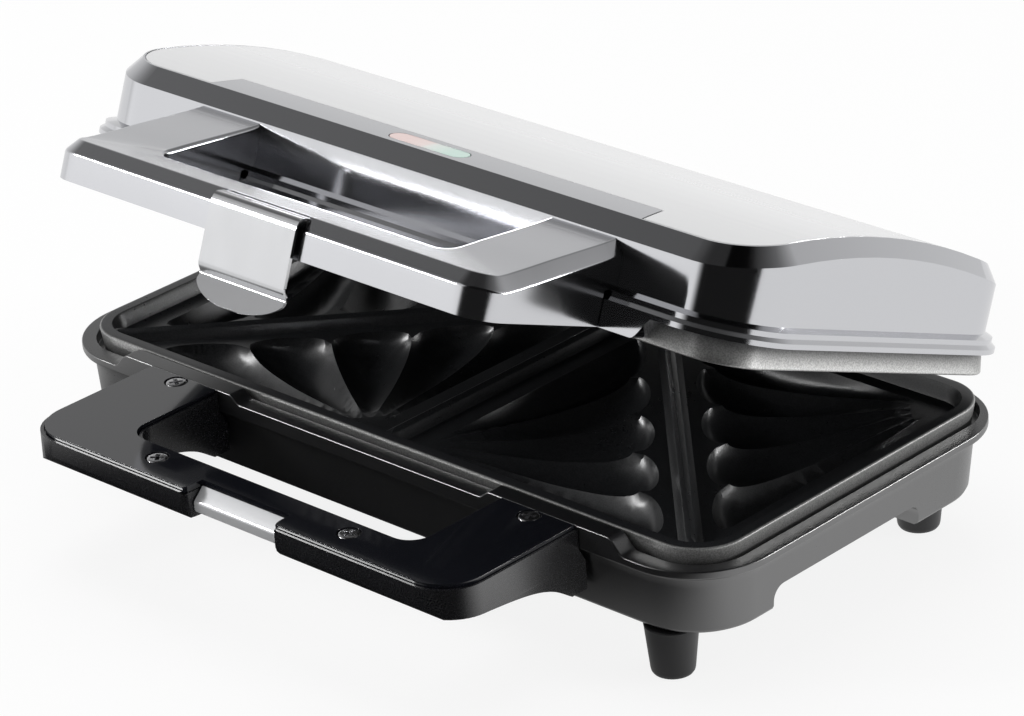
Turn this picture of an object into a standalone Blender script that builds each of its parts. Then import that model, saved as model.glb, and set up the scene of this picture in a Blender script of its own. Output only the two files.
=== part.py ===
"""A two-slice sandwich maker: base, hinged lid with scalloped cooking plates, and a latch clip."""

import math

import bmesh
import bpy
from mathutils import Matrix, Vector

MM = 0.001

# Shared values. The datum is the top of the lower plate's rim, at the plate's middle.
GAP = 0.3 * MM
OVERRUN = 4 * MM
CORNER_STEPS = 4
SIDE_STEPS = 6
STEP_POINTS = 3
ROUND_STEPS = 20
MERGE = 0.00001
SMOOTH_ANGLE = math.radians(35)
FLAT_ANGLE = math.radians(1)
LEVEL_ANGLE = math.radians(0.1)
FACES_UP = 0.5
FACES_SIDEWAYS = 0.2

# Cooking plates
PLATE_HALF_X = 120 * MM
PLATE_HALF_Y = 61.2 * MM
PLATE_CORNER_R = 14.5 * MM
PLATE_DEPTH = 7 * MM
PLATE_DRAFT = 0.8 * MM
PLATE_EDGE_R = 0.7 * MM
RIM_WIDTH = 3.6 * MM
RIM_WALL_RUN = 1.6 * MM
FIELD_DEPTH = 4.5 * MM
PLATE_GAP = 0.7 * MM
RIDGE_CORNER_INSET = 12 * MM
RIDGE_CORNER_X = PLATE_HALF_X - RIDGE_CORNER_INSET
RIDGE_FRONT_INSET = 8.2 * MM
RIDGE_FRONT_Y = -PLATE_HALF_Y + RIDGE_FRONT_INSET
RIDGE_BACK_INSET = 1.7 * MM
RIDGE_BACK_Y = PLATE_HALF_Y - RIDGE_BACK_INSET
RIDGE_TOP_DEPTH = 1 * MM
RIDGE_TOP_WIDTH = 3 * MM
RIDGE_FOOT_WIDTH = 9 * MM
RIDGE_SINK = 0.9 * MM
RIDGE_END = 3.5 * MM
POCKET_INNER_X = 10 * MM
POCKET_OUTER_X = RIDGE_CORNER_X
POCKET_FRONT_Y = RIDGE_FRONT_Y
POCKET_BACK_INSET = 9.7 * MM
POCKET_BACK_Y = PLATE_HALF_Y - POCKET_BACK_INSET
POCKET_RIDGE_GAP = 6.5 * MM
POCKET_DEPTH = 8 * MM
POCKET_EDGE = 0.4 * MM
LOBES = 5
LOBE_STEPS = 4
LOBE_END = 6.5 * MM
CUSP_SHARE = 0.55
RADIAL_SHARES = (0.25, 0.5, 0.72, 0.86, 0.94, 0.985, 1)
POCKET_FULL_SHARE = 0.72
POCKET_END_SHARE = 0.8
BOSS_WALL = 2.3 * MM
BOSS_TAPER = 3 * MM
BOSS_CORNER = 7 * MM
POST_INSET = 16.7 * MM
POST_Y = PLATE_HALF_Y - POST_INSET
POST_R = 4 * MM

# Hinge and rest pose
HINGE_BEHIND_PLATE = 10.3 * MM
HINGE_Y = PLATE_HALF_Y + HINGE_BEHIND_PLATE
HINGE_Z = -2.1 * MM
LID_OPEN = math.radians(21.8)
KNUCKLE_R = 5.5 * MM
HINGE_PIN_R = 2 * MM
HINGE_PIN_HEAD_R = 3.2 * MM
HINGE_PIN_HEAD = 1.2 * MM
HINGE_STATION_INSET = 50 * MM
HINGE_STATION_X = PLATE_HALF_X - HINGE_STATION_INSET
EAR_THICKNESS = 5 * MM
LUG_WIDTH = 13 * MM
EAR_ARC = (135, -75)
LUG_ARC = (45, -170)

# Base housing
LIP_SIDE_WIDTH = 6.5 * MM
LIP_FRONT_WIDTH = 6.8 * MM
LIP_BACK_WIDTH = 3.8 * MM
LIP_HALF_X = PLATE_HALF_X + LIP_SIDE_WIDTH
LIP_FRONT = -PLATE_HALF_Y - LIP_FRONT_WIDTH
LIP_BACK = PLATE_HALF_Y + LIP_BACK_WIDTH
LIP_CORNER_R = 24 * MM
LIP_SIDE_Z = -4 * MM
LIP_ROOT_Z = 0.4 * MM
LIP_MIDDLE_Z = -1.9 * MM
LIP_DEPTH = 2.2 * MM
LIP_FLARE = 4 * MM
FLARE_DEPTH = 4.4 * MM
PLATE_CLEARANCE = 1.2 * MM
LEDGE_WIDTH = 3 * MM
LEDGE_THICKNESS = 2.2 * MM
WALL = 2.3 * MM
WALL_BACK_INSET = 4.2 * MM
WALL_DRAFT = 0.7 * MM
FLOOR_Z = -25 * MM
FLOOR_EDGE = 1.6 * MM
FLOOR_THICKNESS = 2 * MM
RECESS_FRONT_INSET = 24.2 * MM
RECESS_FRONT = -PLATE_HALF_Y + RECESS_FRONT_INSET
RECESS_BACK_INSET = 37.2 * MM
RECESS_BACK = PLATE_HALF_Y - RECESS_BACK_INSET
RECESS_TOP_Z = -18 * MM
RECESS_DEPTH = 10 * MM
RECESS_R = 4 * MM
FOOT_SIDE_INSET = 23 * MM
FOOT_FRONT_INSET = 11 * MM
FOOT_BACK_INSET = 18 * MM
FOOT_X = LIP_HALF_X - FOOT_SIDE_INSET
FOOT_FRONT_Y = LIP_FRONT + FOOT_FRONT_INSET
FOOT_BACK_Y = LIP_BACK - FOOT_BACK_INSET
FOOT_BOTTOM_Z = -40 * MM
FOOT_TOP_R = 7.5 * MM
FOOT_BOTTOM_R = 5.5 * MM
FOOT_EDGE = 1 * MM
SPIGOT_R = 3 * MM
SPIGOT_LENGTH = 3.4 * MM

# Base handle
ARM_STEP_WIDTH = 4 * MM
SIDE_STEP_WIDTH = 6 * MM
SIDE_STEP_INSET = 4.5 * MM
FRAME_SIDE_INSET = 38 * MM
FRAME_REACH = 49 * MM
FRAME_HALF_X = PLATE_HALF_X - FRAME_SIDE_INSET
FRAME_FRONT = LIP_FRONT - FRAME_REACH
ARM_WIDTH = 28 * MM
HANDLE_OPENING_X = FRAME_HALF_X - ARM_WIDTH
ARM_INNER_STEP = (HANDLE_OPENING_X - 2 * ARM_STEP_WIDTH, HANDLE_OPENING_X - ARM_STEP_WIDTH)
SIDE_STEP_END = LIP_HALF_X - LIP_CORNER_R - SIDE_STEP_INSET
ARM_OUTER_STEP = (SIDE_STEP_END - SIDE_STEP_WIDTH, SIDE_STEP_END)
FRAME_CORNER_R = 12.5 * MM
FRAME_TOP_Z = -0.5 * MM
FRAME_FRONT_Z = -5.5 * MM
FRAME_TOE = 2.5 * MM
FRAME_TOE_Z = -9 * MM
FRAME_ARM_SHARES = ((0.3, -0.9), (0.6, -2.6), (0.78, -5), (0.93, -9))
FRAME_BAR = 14.3 * MM
FRAME_OPENING_FRONT = FRAME_FRONT + FRAME_BAR
FRAME_ROOT_Z = -19 * MM
OPENING_FRONT_R = 7 * MM
COVER_INSET = 1 * MM
COVER_TOP_Z = 0.6 * MM
COVER_THICKNESS = 1.7 * MM
NOTCH_HALF_X = 17 * MM
NOTCH_FLARE = 1.5 * MM
NOTCH_DEPTH = 7.5 * MM
NOTCH_BACK = FRAME_FRONT + NOTCH_DEPTH
BACK_SCREW_INSET = 14.3 * MM
BACK_SCREW_REACH = 3.5 * MM
FRONT_SCREW_OFFSET = 1.3 * MM
FRONT_SCREW_INSET = 9.5 * MM
FRONT_SCREW_X = (NOTCH_HALF_X + HANDLE_OPENING_X) / 2 + FRONT_SCREW_OFFSET
SCREW_PLACES = (
    (FRAME_HALF_X - BACK_SCREW_INSET, LIP_FRONT - BACK_SCREW_REACH),
    (FRONT_SCREW_X, FRAME_FRONT + FRONT_SCREW_INSET),
)
COVER_SCREW_HEAD_R = 3.1 * MM
COVER_SCREW_R = 1.3 * MM
COVER_SCREW_LENGTH = 5 * MM
CROSS_LENGTH = 3.4 * MM
CROSS_WIDTH = 0.8 * MM
CROSS_DEPTH = 0.8 * MM
CATCH_NOSE_INSET = 3.5 * MM
CATCH_NOSE_Y = FRAME_FRONT + CATCH_NOSE_INSET
CATCH_NOSE_TOP_Z = -4.2 * MM
CATCH_NOSE_Z = -7.3 * MM
CATCH_BOTTOM_Z = -8.6 * MM
CATCH_TOP_Z = -0.8 * MM

# Lid housing, given as the lid lies when it is closed
FLANGE_SIDE_WIDTH = 6.3 * MM
FLANGE_FRONT_WIDTH = 6.1 * MM
FLANGE_BACK_WIDTH = 1.6 * MM
FLANGE_HALF_X = PLATE_HALF_X + FLANGE_SIDE_WIDTH
FLANGE_FRONT = -PLATE_HALF_Y - FLANGE_FRONT_WIDTH
FLANGE_BACK = PLATE_HALF_Y + FLANGE_BACK_WIDTH
FLANGE_Z = 8 * MM
FLANGE_MIDDLE_Z = 1.8 * MM
BEAD = 1.4 * MM
GROOVE = 1 * MM
BEAD_INSET = 1.3 * MM
LID_WALL_INSET = 4.3 * MM
LID_BACK_INSET = 3 * MM
LID_WALL_Z = 14 * MM
ARCH_TOP_Z = 37.1 * MM
ARCH_CURVE = 2.1
ARCH_CENTRE_Y = -4 * MM
BAND_DROP = 4.6 * MM
BAND_INSET = 4 * MM
LID_WALL = 2.3 * MM
LID_LEDGE_LAP = 3.5 * MM
LID_LEDGE_HALF_X = PLATE_HALF_X - LID_LEDGE_LAP
LID_LEDGE_HALF_Y = PLATE_HALF_Y - LID_LEDGE_LAP
LID_CORNER_R = 24 * MM
PANEL_THICKNESS = 1 * MM
PANEL_EDGE = 0.8 * MM
STRIP_HALF_X = FRAME_HALF_X - COVER_INSET
STRIP_DEPTH = 19.3 * MM
STRIP_BACK = FLANGE_FRONT + STRIP_DEPTH
STRIP_SLANT = 2 * MM
WINDOW_LENGTH = 28 * MM
WINDOW_WIDTH = 6 * MM
WINDOW_INSET = 13.5 * MM
WINDOW_Y = FLANGE_FRONT + WINDOW_INSET
WINDOW_DEPTH = 3.2 * MM
LAMP_R = 2.2 * MM
LAMP_LENGTH = 11 * MM
TOWER_R = 5 * MM
TOWER_BORE_R = 3.3 * MM

# Lid handle
GRIP_HALF_X = FRAME_HALF_X - COVER_INSET
GRIP_INSET = 2.5 * MM
GRIP_FRONT = FRAME_FRONT + GRIP_INSET
GRIP_CORNER_R = 9.5 * MM
GRIP_BOTTOM_Z = 1.8 * MM
GRIP_TOP_Z = 13.3 * MM
GRIP_ROOT_Z = 24.3 * MM
GRIP_BEVEL = 3.2 * MM
GRIP_ARM_SHARES = ((0.16, 0), (0.31, 0.7), (0.53, 3.4), (0.75, 6.1), (0.9, 8.3), (1, 10.5))
GRIP_OPENING_X = HANDLE_OPENING_X
GRIP_BAR = 14.1 * MM
GRIP_OPENING_FRONT = GRIP_FRONT + GRIP_BAR
GRIP_OPENING_R = 4 * MM

# Latch clip
LATCH_PIN_INSET = 1.9 * MM
LATCH_Y = GRIP_FRONT + LATCH_PIN_INSET
LATCH_Z = 11.4 * MM
LATCH_HALF_X = 16 * MM
LATCH_BARREL_R = 1.6 * MM
LATCH_PIN_R = 0.8 * MM
LATCH_PIN_OVERHANG = 3 * MM
LATCH_SHEET = 1 * MM
LATCH_FACE_REACH = 3.5 * MM
LATCH_WRAP_REACH = 2.4 * MM
LATCH_HOOK_REACH = 1.8 * MM
LATCH_TAB_REACH = 5.6 * MM
LATCH_FACE_Y = LATCH_Y - LATCH_FACE_REACH
LATCH_FACE_TOP_Z = 10.2 * MM
LATCH_WRAP_Y = LATCH_Y - LATCH_WRAP_REACH
LATCH_WRAP_Z = 12.3 * MM
LATCH_FOLD_Z = -7 * MM
LATCH_HOOK_Y = LATCH_Y - LATCH_HOOK_REACH
LATCH_HOOK_Z = -9.3 * MM
LATCH_TAB_Y = LATCH_Y - LATCH_TAB_REACH
LATCH_TAB_Z = -16 * MM
LATCH_TAB_HALF_X = 16.6 * MM
LATCH_SIDE_GAP = 0.6 * MM

# Heating and wiring
ELEMENT_R = 3.2 * MM
ELEMENT_SIDE_INSET = 46 * MM
ELEMENT_FRONT_INSET = 29.2 * MM
ELEMENT_TAIL_INSET = 15.2 * MM
ELEMENT_HALF_X = PLATE_HALF_X - ELEMENT_SIDE_INSET
ELEMENT_HALF_Y = PLATE_HALF_Y - ELEMENT_FRONT_INSET
ELEMENT_BEND_R = 16 * MM
ELEMENT_TAIL_X = 14 * MM
ELEMENT_TAIL_Y = PLATE_HALF_Y - ELEMENT_TAIL_INSET
REFLECTOR_SIDE_INSET = 18 * MM
REFLECTOR_FRONT_INSET = 9.2 * MM
REFLECTOR_HALF_X = PLATE_HALF_X - REFLECTOR_SIDE_INSET
REFLECTOR_HALF_Y = PLATE_HALF_Y - REFLECTOR_FRONT_INSET
REFLECTOR_CORNER_R = 14 * MM
REFLECTOR_SHEET = 0.6 * MM
REFLECTOR_WALL = 4 * MM
PLATE_SCREW_R = 1.4 * MM
PLATE_SCREW_HEAD_R = 2.9 * MM
PLATE_SCREW_HEAD = 1.6 * MM
PLATE_SCREW_LENGTH = 11 * MM
THERMOSTAT_R = 8 * MM
THERMOSTAT_HEIGHT = 6.5 * MM
THERMOSTAT_X = 30 * MM
FUSE_R = 2.4 * MM
FUSE_LENGTH = 20 * MM
FUSE_X = -30 * MM
BLOCK_LENGTH = 22 * MM
BLOCK_WIDTH = 11 * MM
BLOCK_HEIGHT = 6 * MM
BLOCK_X = -60 * MM
GLAND_INSET = 36 * MM
GLAND_X = HINGE_STATION_X - GLAND_INSET
GLAND_Z = -16 * MM
GLAND_R = 4.4 * MM
GLAND_FLANGE_R = 6 * MM
GLAND_FLANGE = 1.6 * MM
GLAND_BORE_R = 3 * MM


def clear_scene():
    for item in list(bpy.data.objects):
        bpy.data.objects.remove(item)


def new_collection(name, hidden):
    collection = bpy.data.collections.new(name)
    bpy.context.scene.collection.children.link(collection)
    collection.hide_render = hidden
    return collection


def finish_material(name, colour, roughness, metallic):
    material = bpy.data.materials.new(name)
    material.use_nodes = True
    shader = material.node_tree.nodes["Principled BSDF"]
    shader.inputs["Base Color"].default_value = (*colour, 1)
    shader.inputs["Roughness"].default_value = roughness
    shader.inputs["Metallic"].default_value = metallic
    material.diffuse_color = (*colour, 1)
    return material


def object_from_mesh(name, mesh):
    body = bpy.data.objects.new(name, mesh)
    parts.objects.link(body)
    return body


def object_from_bmesh(name, shape):
    bmesh.ops.remove_doubles(shape, verts=shape.verts, dist=MERGE)
    bmesh.ops.recalc_face_normals(shape, faces=shape.faces)
    mesh = bpy.data.meshes.new(name)
    shape.to_mesh(mesh)
    shape.free()
    return object_from_mesh(name, mesh)


def baked(body):
    """The object with its modifiers made real, and its cutters removed."""
    graph = bpy.context.evaluated_depsgraph_get()
    mesh = bpy.data.meshes.new_from_object(body.evaluated_get(graph))
    for modifier in list(body.modifiers):
        if modifier.type == "BOOLEAN":
            bpy.data.objects.remove(modifier.object)
    body.modifiers.clear()
    shape = bmesh.new()
    shape.from_mesh(mesh)
    bmesh.ops.remove_doubles(shape, verts=shape.verts, dist=MERGE)
    bmesh.ops.dissolve_degenerate(shape, edges=shape.edges, dist=MERGE)
    bmesh.ops.dissolve_limit(shape, angle_limit=LEVEL_ANGLE, verts=shape.verts, edges=shape.edges)
    bmesh.ops.triangulate(shape, faces=shape.faces)
    shape.to_mesh(mesh)
    shape.free()
    mesh.name = body.name
    body.data = mesh
    return body


def with_tool(body, tool, operation):
    parts.objects.unlink(tool)
    cutters.objects.link(tool)
    tool.hide_render = True
    tool.display_type = "WIRE"
    modifier = body.modifiers.new(tool.name, "BOOLEAN")
    modifier.operation = operation
    modifier.object = tool
    modifier.solver = "EXACT"


def cut(body, tool):
    with_tool(body, tool, "DIFFERENCE")


def join(body, tool):
    with_tool(body, tool, "UNION")


def keep_common(body, tool):
    with_tool(body, tool, "INTERSECT")


def use_manifold_solver(body):
    """For a body with many cuts close together, where the exact solver leaves open edges."""
    for modifier in body.modifiers:
        modifier.solver = "MANIFOLD"
    return body


def finish(body, material, smooth=True):
    body.data.materials.clear()
    body.data.materials.append(material)
    if smooth:
        body.data.shade_smooth()
        body.data.set_sharp_from_angle(angle=SMOOTH_ANGLE)
    return body


def extruded(name, outlines, low, high):
    """A flat outline, with any holes in it, filled and extruded from low to high."""
    curve = bpy.data.curves.new(name, "CURVE")
    curve.dimensions = "2D"
    curve.fill_mode = "BOTH"
    curve.extrude = (high - low) / 2
    for outline in outlines:
        spline = curve.splines.new("POLY")
        spline.points.add(len(outline) - 1)
        for point, (x, y) in zip(spline.points, outline):
            point.co = (x, y, 0, 1)
        spline.use_cyclic_u = True
    flat = bpy.data.objects.new(name, curve)
    parts.objects.link(flat)
    bpy.context.view_layer.update()
    graph = bpy.context.evaluated_depsgraph_get()
    mesh = bpy.data.meshes.new_from_object(flat.evaluated_get(graph))
    bpy.data.objects.remove(flat)
    shape = bmesh.new()
    shape.from_mesh(mesh)
    bmesh.ops.translate(shape, verts=shape.verts, vec=(0, 0, (low + high) / 2))
    return object_from_bmesh(name, shape)


def turn_to_side(body):
    """Turns an extrusion so that its outline lies in the y-z plane and its length runs along x."""
    body.data.transform(Matrix(((0, 0, 1, 0), (1, 0, 0, 0), (0, 1, 0, 0), (0, 0, 0, 1))))
    return body


def side_profile(name, outline, low_x, high_x):
    return turn_to_side(extruded(name, [outline], low_x, high_x))


def turned(name, profile, steps=ROUND_STEPS, closed=False):
    """A profile of (radius, height) points turned about the z axis."""
    mesh = bpy.data.meshes.new(name)
    points = [(radius, 0, height) for radius, height in profile]
    edges = [(i, i + 1) for i in range(len(points) - 1)]
    if closed:
        edges.append((len(points) - 1, 0))
    mesh.from_pydata(points, edges, [])
    body = object_from_mesh(name, mesh)
    screw = body.modifiers.new("Turn", "SCREW")
    screw.steps = steps
    screw.render_steps = steps
    screw.use_merge_vertices = True
    screw.merge_threshold = MERGE
    return baked(body)


def moved(body, x, y, z):
    body.data.transform(Matrix.Translation((x, y, z)))
    return body


def along_x(body):
    body.data.transform(Matrix.Rotation(math.radians(90), 4, "Y"))
    return body


def along_y(body):
    body.data.transform(Matrix.Rotation(math.radians(-90), 4, "X"))
    return body


def rod(name, radius, length, steps=ROUND_STEPS):
    """A round bar about z, centred on the datum."""
    profile = [(0, length / 2), (radius, length / 2), (radius, -length / 2), (0, -length / 2)]
    return turned(name, profile, steps)


def block(name, low, high):
    shape = bmesh.new()
    bmesh.ops.create_cube(shape, size=1)
    size = [b - a for a, b in zip(low, high)]
    middle = [(a + b) / 2 for a, b in zip(low, high)]
    bmesh.ops.scale(shape, verts=shape.verts, vec=size)
    bmesh.ops.translate(shape, verts=shape.verts, vec=middle)
    return object_from_bmesh(name, shape)


def arc(centre_x, centre_y, radius, start, end, steps):
    """Points on an arc between two angles in degrees."""
    turns = [math.radians(start + (end - start) * i / steps) for i in range(steps + 1)]
    return [(centre_x + radius * math.cos(t), centre_y + radius * math.sin(t)) for t in turns]


def smooth_step(share):
    share = min(max(share, 0), 1)
    return share * share * (3 - 2 * share)


def share_between(value, low, high):
    return (value - low) / (high - low)


# Round-cornered rings and the shells lofted through them


def lip_stations():
    """Places along the front where the lips step up and down beside the handle arms."""
    places = []
    for low, high in (ARM_INNER_STEP, ARM_OUTER_STEP):
        places += [low + (high - low) * i / STEP_POINTS for i in range(STEP_POINTS + 1)]
    return places


def half_outline(half_x, front, back, radius, stations=()):
    """Right half of a round-cornered outline seen from above, from the front to the back."""
    points = [(x, front) for x in stations]
    points += arc(half_x - radius, front + radius, radius, -90, 0, CORNER_STEPS)
    low, high = front + radius, back - radius
    points += [(half_x, low + (high - low) * i / SIDE_STEPS) for i in range(1, SIDE_STEPS)]
    points += arc(half_x - radius, back - radius, radius, 0, 90, CORNER_STEPS)
    return points


def ring(half, height):
    """A whole ring of points from its right half, each at height(x, y)."""
    whole = half + [(-x, y) for x, y in reversed(half)]
    return [Vector((x, y, height(x, y))) for x, y in whole]


def level(z):
    return lambda x, y: z


def outline_ring(half_x, front, back, radius, height, stations=()):
    return ring(half_outline(half_x, front, back, radius, stations), height)


def ladder_faces(ring_verts):
    """Faces across a ring, one strip for each step from the front to the back."""
    count = len(ring_verts) // 2
    right, left = ring_verts[:count], ring_verts[:count - 1:-1]
    front_y = right[0].co.y
    run = sum(abs(vert.co.y - front_y) < MERGE for vert in right)
    faces = [right[: run + 1] + left[run::-1]]
    for i in range(run, count - 1):
        faces.append([right[i], right[i + 1], left[i + 1], left[i]])
    return faces


def loft(name, rings, ladder=False):
    """A closed shell through rings of equal count, capped at both ends."""
    shape = bmesh.new()
    rows = [[shape.verts.new(point) for point in points] for points in rings]
    for low, high in zip(rows, rows[1:]):
        for i in range(len(low)):
            j = (i + 1) % len(low)
            shape.faces.new((low[i], low[j], high[j], high[i]))
    for end in (rows[0], rows[-1]):
        for face in ladder_faces(end) if ladder else [end]:
            shape.faces.new(face)
    return object_from_bmesh(name, shape)


# Cooking plates


def pocket_end(angle, distance, normal):
    """Distance from a pocket's corner to its long side, in a direction."""
    return distance / math.cos(angle - normal)


def pocket_grid(distance, normal):
    """Rows of (u, v, depth) for each direction of the fan, from its corner to the lobes' ends."""
    rows = []
    total = LOBES * LOBE_STEPS
    for i in range(total + 1):
        angle = math.radians(90) * i / total
        across = 2 * (i % LOBE_STEPS) / LOBE_STEPS - 1
        reach = pocket_end(angle, distance, normal)
        reach -= LOBE_END * (1 - math.sqrt(1 - min(across * across, 1)))
        outer_half = i <= LOBE_STEPS / 2 or i >= total - LOBE_STEPS / 2
        row = []
        for share in RADIAL_SHARES:
            fill = smooth_step(share / POCKET_FULL_SHARE)
            past = max(share - POCKET_END_SHARE, 0) / (1 - POCKET_END_SHARE)
            fill *= math.sqrt(1 - past * past)
            cusp = abs(across) ** 3 if outer_half else CUSP_SHARE * across * across
            depth = FIELD_DEPTH - POCKET_EDGE + (POCKET_DEPTH + POCKET_EDGE) * fill * (1 - cusp)
            row.append((share * reach * math.cos(angle), share * reach * math.sin(angle), depth))
        rows.append(row)
    return rows


def pocket_frame(corner_x, corner_y):
    """The distance and the direction of the ridge line as seen from a pocket's corner."""
    run_x, run_y = RIDGE_CORNER_X, RIDGE_BACK_Y - RIDGE_FRONT_Y
    length = math.hypot(run_x, run_y)
    from_ridge = (RIDGE_CORNER_X - abs(corner_x)) * run_y + (RIDGE_FRONT_Y - corner_y) * run_x
    distance = abs(from_ridge) / length - POCKET_RIDGE_GAP
    return distance, math.atan2(run_x, run_y)


def pocket_cutter(name, corner_x, corner_y, sign_x, sign_y):
    distance, normal = pocket_frame(corner_x, corner_y)
    rows = pocket_grid(distance, normal)
    top = OVERRUN - FIELD_DEPTH
    shape = bmesh.new()

    def vert(u, v, z):
        return shape.verts.new((corner_x + sign_x * u, corner_y + sign_y * v, z))

    apex = vert(0, 0, POCKET_EDGE - FIELD_DEPTH)
    apex_top = vert(0, 0, top)
    low = [[vert(u, v, -depth) for u, v, depth in row] for row in rows]
    high = [vert(row[-1][0], row[-1][1], top) for row in rows]
    for a, b in zip(low, low[1:]):
        shape.faces.new((apex, a[0], b[0]))
        for i in range(len(a) - 1):
            shape.faces.new((a[i], a[i + 1], b[i + 1], b[i]))
    for i in range(len(high) - 1):
        shape.faces.new((low[i][-1], high[i], high[i + 1], low[i + 1][-1]))
        shape.faces.new((apex_top, high[i], high[i + 1]))
    for side, end in ((low[0], high[0]), (low[-1], high[-1])):
        shape.faces.new([apex, *side, end, apex_top])
    return object_from_bmesh(name, shape)


def pocket_boss(name, corner_x, corner_y, sign_x, sign_y):
    """The underside of a pocket: a tapered triangle with cut corners."""
    distance, normal = pocket_frame(corner_x, corner_y)
    shape = bmesh.new()
    rows = []
    levels = ((BOSS_WALL, -(FIELD_DEPTH + PLATE_DEPTH) / 2), (BOSS_WALL - BOSS_TAPER, -plate_height()))
    for wall, z in levels:
        reach_u = pocket_end(0, distance + wall, normal)
        reach_v = pocket_end(math.radians(90), distance + wall, normal)
        outline = (
            (BOSS_CORNER - wall, -wall),
            (reach_u - BOSS_CORNER, -wall),
            (reach_u - BOSS_CORNER, BOSS_CORNER / math.tan(normal)),
            (BOSS_CORNER * math.tan(normal), reach_v - BOSS_CORNER),
            (-wall, reach_v - BOSS_CORNER),
            (-wall, BOSS_CORNER - wall),
        )
        rows.append([shape.verts.new((corner_x + sign_x * u, corner_y + sign_y * v, z)) for u, v in outline])
    low, high = rows
    for i in range(len(low)):
        j = (i + 1) % len(low)
        shape.faces.new((low[i], low[j], high[j], high[i]))
    shape.faces.new(low)
    shape.faces.new(high)
    return object_from_bmesh(name, shape)


def plate_height():
    """From the rim's top to the underside of the pockets."""
    return FIELD_DEPTH + POCKET_DEPTH + BOSS_WALL


def ridge(name, x, y):
    """A ridge from a place at the front to the middle of the back, with sloping flanks."""
    start, end = Vector((x, y)), Vector((0, RIDGE_BACK_Y))
    along = (end - start).normalized()
    start -= along * RIDGE_END
    end -= along * RIDGE_END * abs(along.x)
    length = (end - start).length
    foot_z = -FIELD_DEPTH - RIDGE_SINK
    half_top, half_foot = RIDGE_TOP_WIDTH / 2, RIDGE_FOOT_WIDTH / 2
    top_z = -RIDGE_TOP_DEPTH
    outline = [(-half_foot, foot_z), (half_foot, foot_z), (half_top, top_z), (-half_top, top_z)]
    body = turn_to_side(extruded(name, [outline], 0, length))
    body.data.transform(Matrix.Rotation(math.atan2(along.y, along.x), 4, "Z"))
    return moved(body, start.x, start.y, 0)


def make_plate(name):
    """A cast plate, cooking side up, with its rim's top at z = 0."""
    sizes = (
        (PLATE_DRAFT, -PLATE_DEPTH),
        (0, -PLATE_EDGE_R),
        (PLATE_EDGE_R, 0),
        (RIM_WIDTH, 0),
        (RIM_WIDTH + RIM_WALL_RUN, -FIELD_DEPTH),
    )
    rings = []
    for inset, z in sizes:
        half_y = PLATE_HALF_Y - inset
        rings.append(outline_ring(PLATE_HALF_X - inset, -half_y, half_y, PLATE_CORNER_R - inset, level(z)))
    plate = loft(name, rings)
    for index, x in enumerate((RIDGE_CORNER_X, 0, -RIDGE_CORNER_X)):
        join(plate, ridge(f"{name}_ridge_{index}", x, RIDGE_FRONT_Y))
    places = []
    for side in (1, -1):
        places.append((side * POCKET_INNER_X, POCKET_FRONT_Y, side, 1))
        places.append((side * POCKET_OUTER_X, POCKET_BACK_Y, -side, -1))
    for index, place in enumerate(places):
        join(plate, pocket_boss(f"{name}_boss_{index}", *place))
    for y in (-POST_Y, POST_Y):
        top, foot = -FIELD_DEPTH - RIDGE_SINK, -post_foot()
        join(plate, moved(rod(f"{name}_post", POST_R, top - foot), 0, y, (top + foot) / 2))
        bore = rod(f"{name}_bore", PLATE_SCREW_R + GAP, 2 * PLATE_SCREW_LENGTH)
        cut(plate, moved(bore, 0, y, foot))
    for index, place in enumerate(places):
        cut(plate, pocket_cutter(f"{name}_pocket_{index}", *place))
    return baked(use_manifold_solver(plate))


def post_foot():
    """From the rim's top to the foot of the posts that the plate screws enter."""
    return reflector_back() + GAP


def reflector_back():
    """From the rim's top to the far side of the reflector."""
    return plate_height() + 2 * GAP + 2 * ELEMENT_R + REFLECTOR_SHEET


# Heating parts, made for the lower plate and turned over for the upper one


def make_element(name):
    points = [(-ELEMENT_TAIL_X, ELEMENT_TAIL_Y)]
    bend = ELEMENT_BEND_R
    half_x, half_y = ELEMENT_HALF_X, ELEMENT_HALF_Y
    steps = CORNER_STEPS
    points += arc(-ELEMENT_TAIL_X - bend / 2, half_y + bend / 2, bend / 2, 0, -90, steps)
    points += arc(-half_x + bend, half_y - bend, bend, 90, 180, steps)
    points += arc(-half_x + bend, -half_y + bend, bend, 180, 270, steps)
    points += [(-x, y) for x, y in reversed(points)]
    curve = bpy.data.curves.new(name, "CURVE")
    curve.dimensions = "3D"
    curve.bevel_depth = ELEMENT_R
    curve.bevel_resolution = 1
    curve.use_fill_caps = True
    spline = curve.splines.new("POLY")
    spline.points.add(len(points) - 1)
    z = -plate_height() - GAP - ELEMENT_R
    for point, (x, y) in zip(spline.points, points):
        point.co = (x, y, z, 1)
    tube = bpy.data.objects.new(name, curve)
    parts.objects.link(tube)
    bpy.context.view_layer.update()
    graph = bpy.context.evaluated_depsgraph_get()
    mesh = bpy.data.meshes.new_from_object(tube.evaluated_get(graph))
    bpy.data.objects.remove(tube)
    shape = bmesh.new()
    shape.from_mesh(mesh)
    return object_from_bmesh(name, shape)


def make_reflector(name):
    """A shallow sheet tray behind the element, open towards the plate."""
    base_z = -reflector_back()
    inner_z = base_z + REFLECTOR_SHEET
    rim_z = base_z + REFLECTOR_WALL
    rings = []
    inner = REFLECTOR_SHEET
    for inset, z in ((inner, inner_z), (inner, rim_z), (0, rim_z), (0, base_z)):
        half_y = REFLECTOR_HALF_Y - inset
        half_x = REFLECTOR_HALF_X - inset
        rings.append(outline_ring(half_x, -half_y, half_y, REFLECTOR_CORNER_R - inset, level(z)))
    tray = loft(name, rings)
    for y in (-POST_Y, POST_Y):
        hole = rod(f"{name}_hole", POST_R + GAP, REFLECTOR_WALL + OVERRUN)
        cut(tray, moved(hole, 0, y, base_z))
    return baked(tray)


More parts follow.
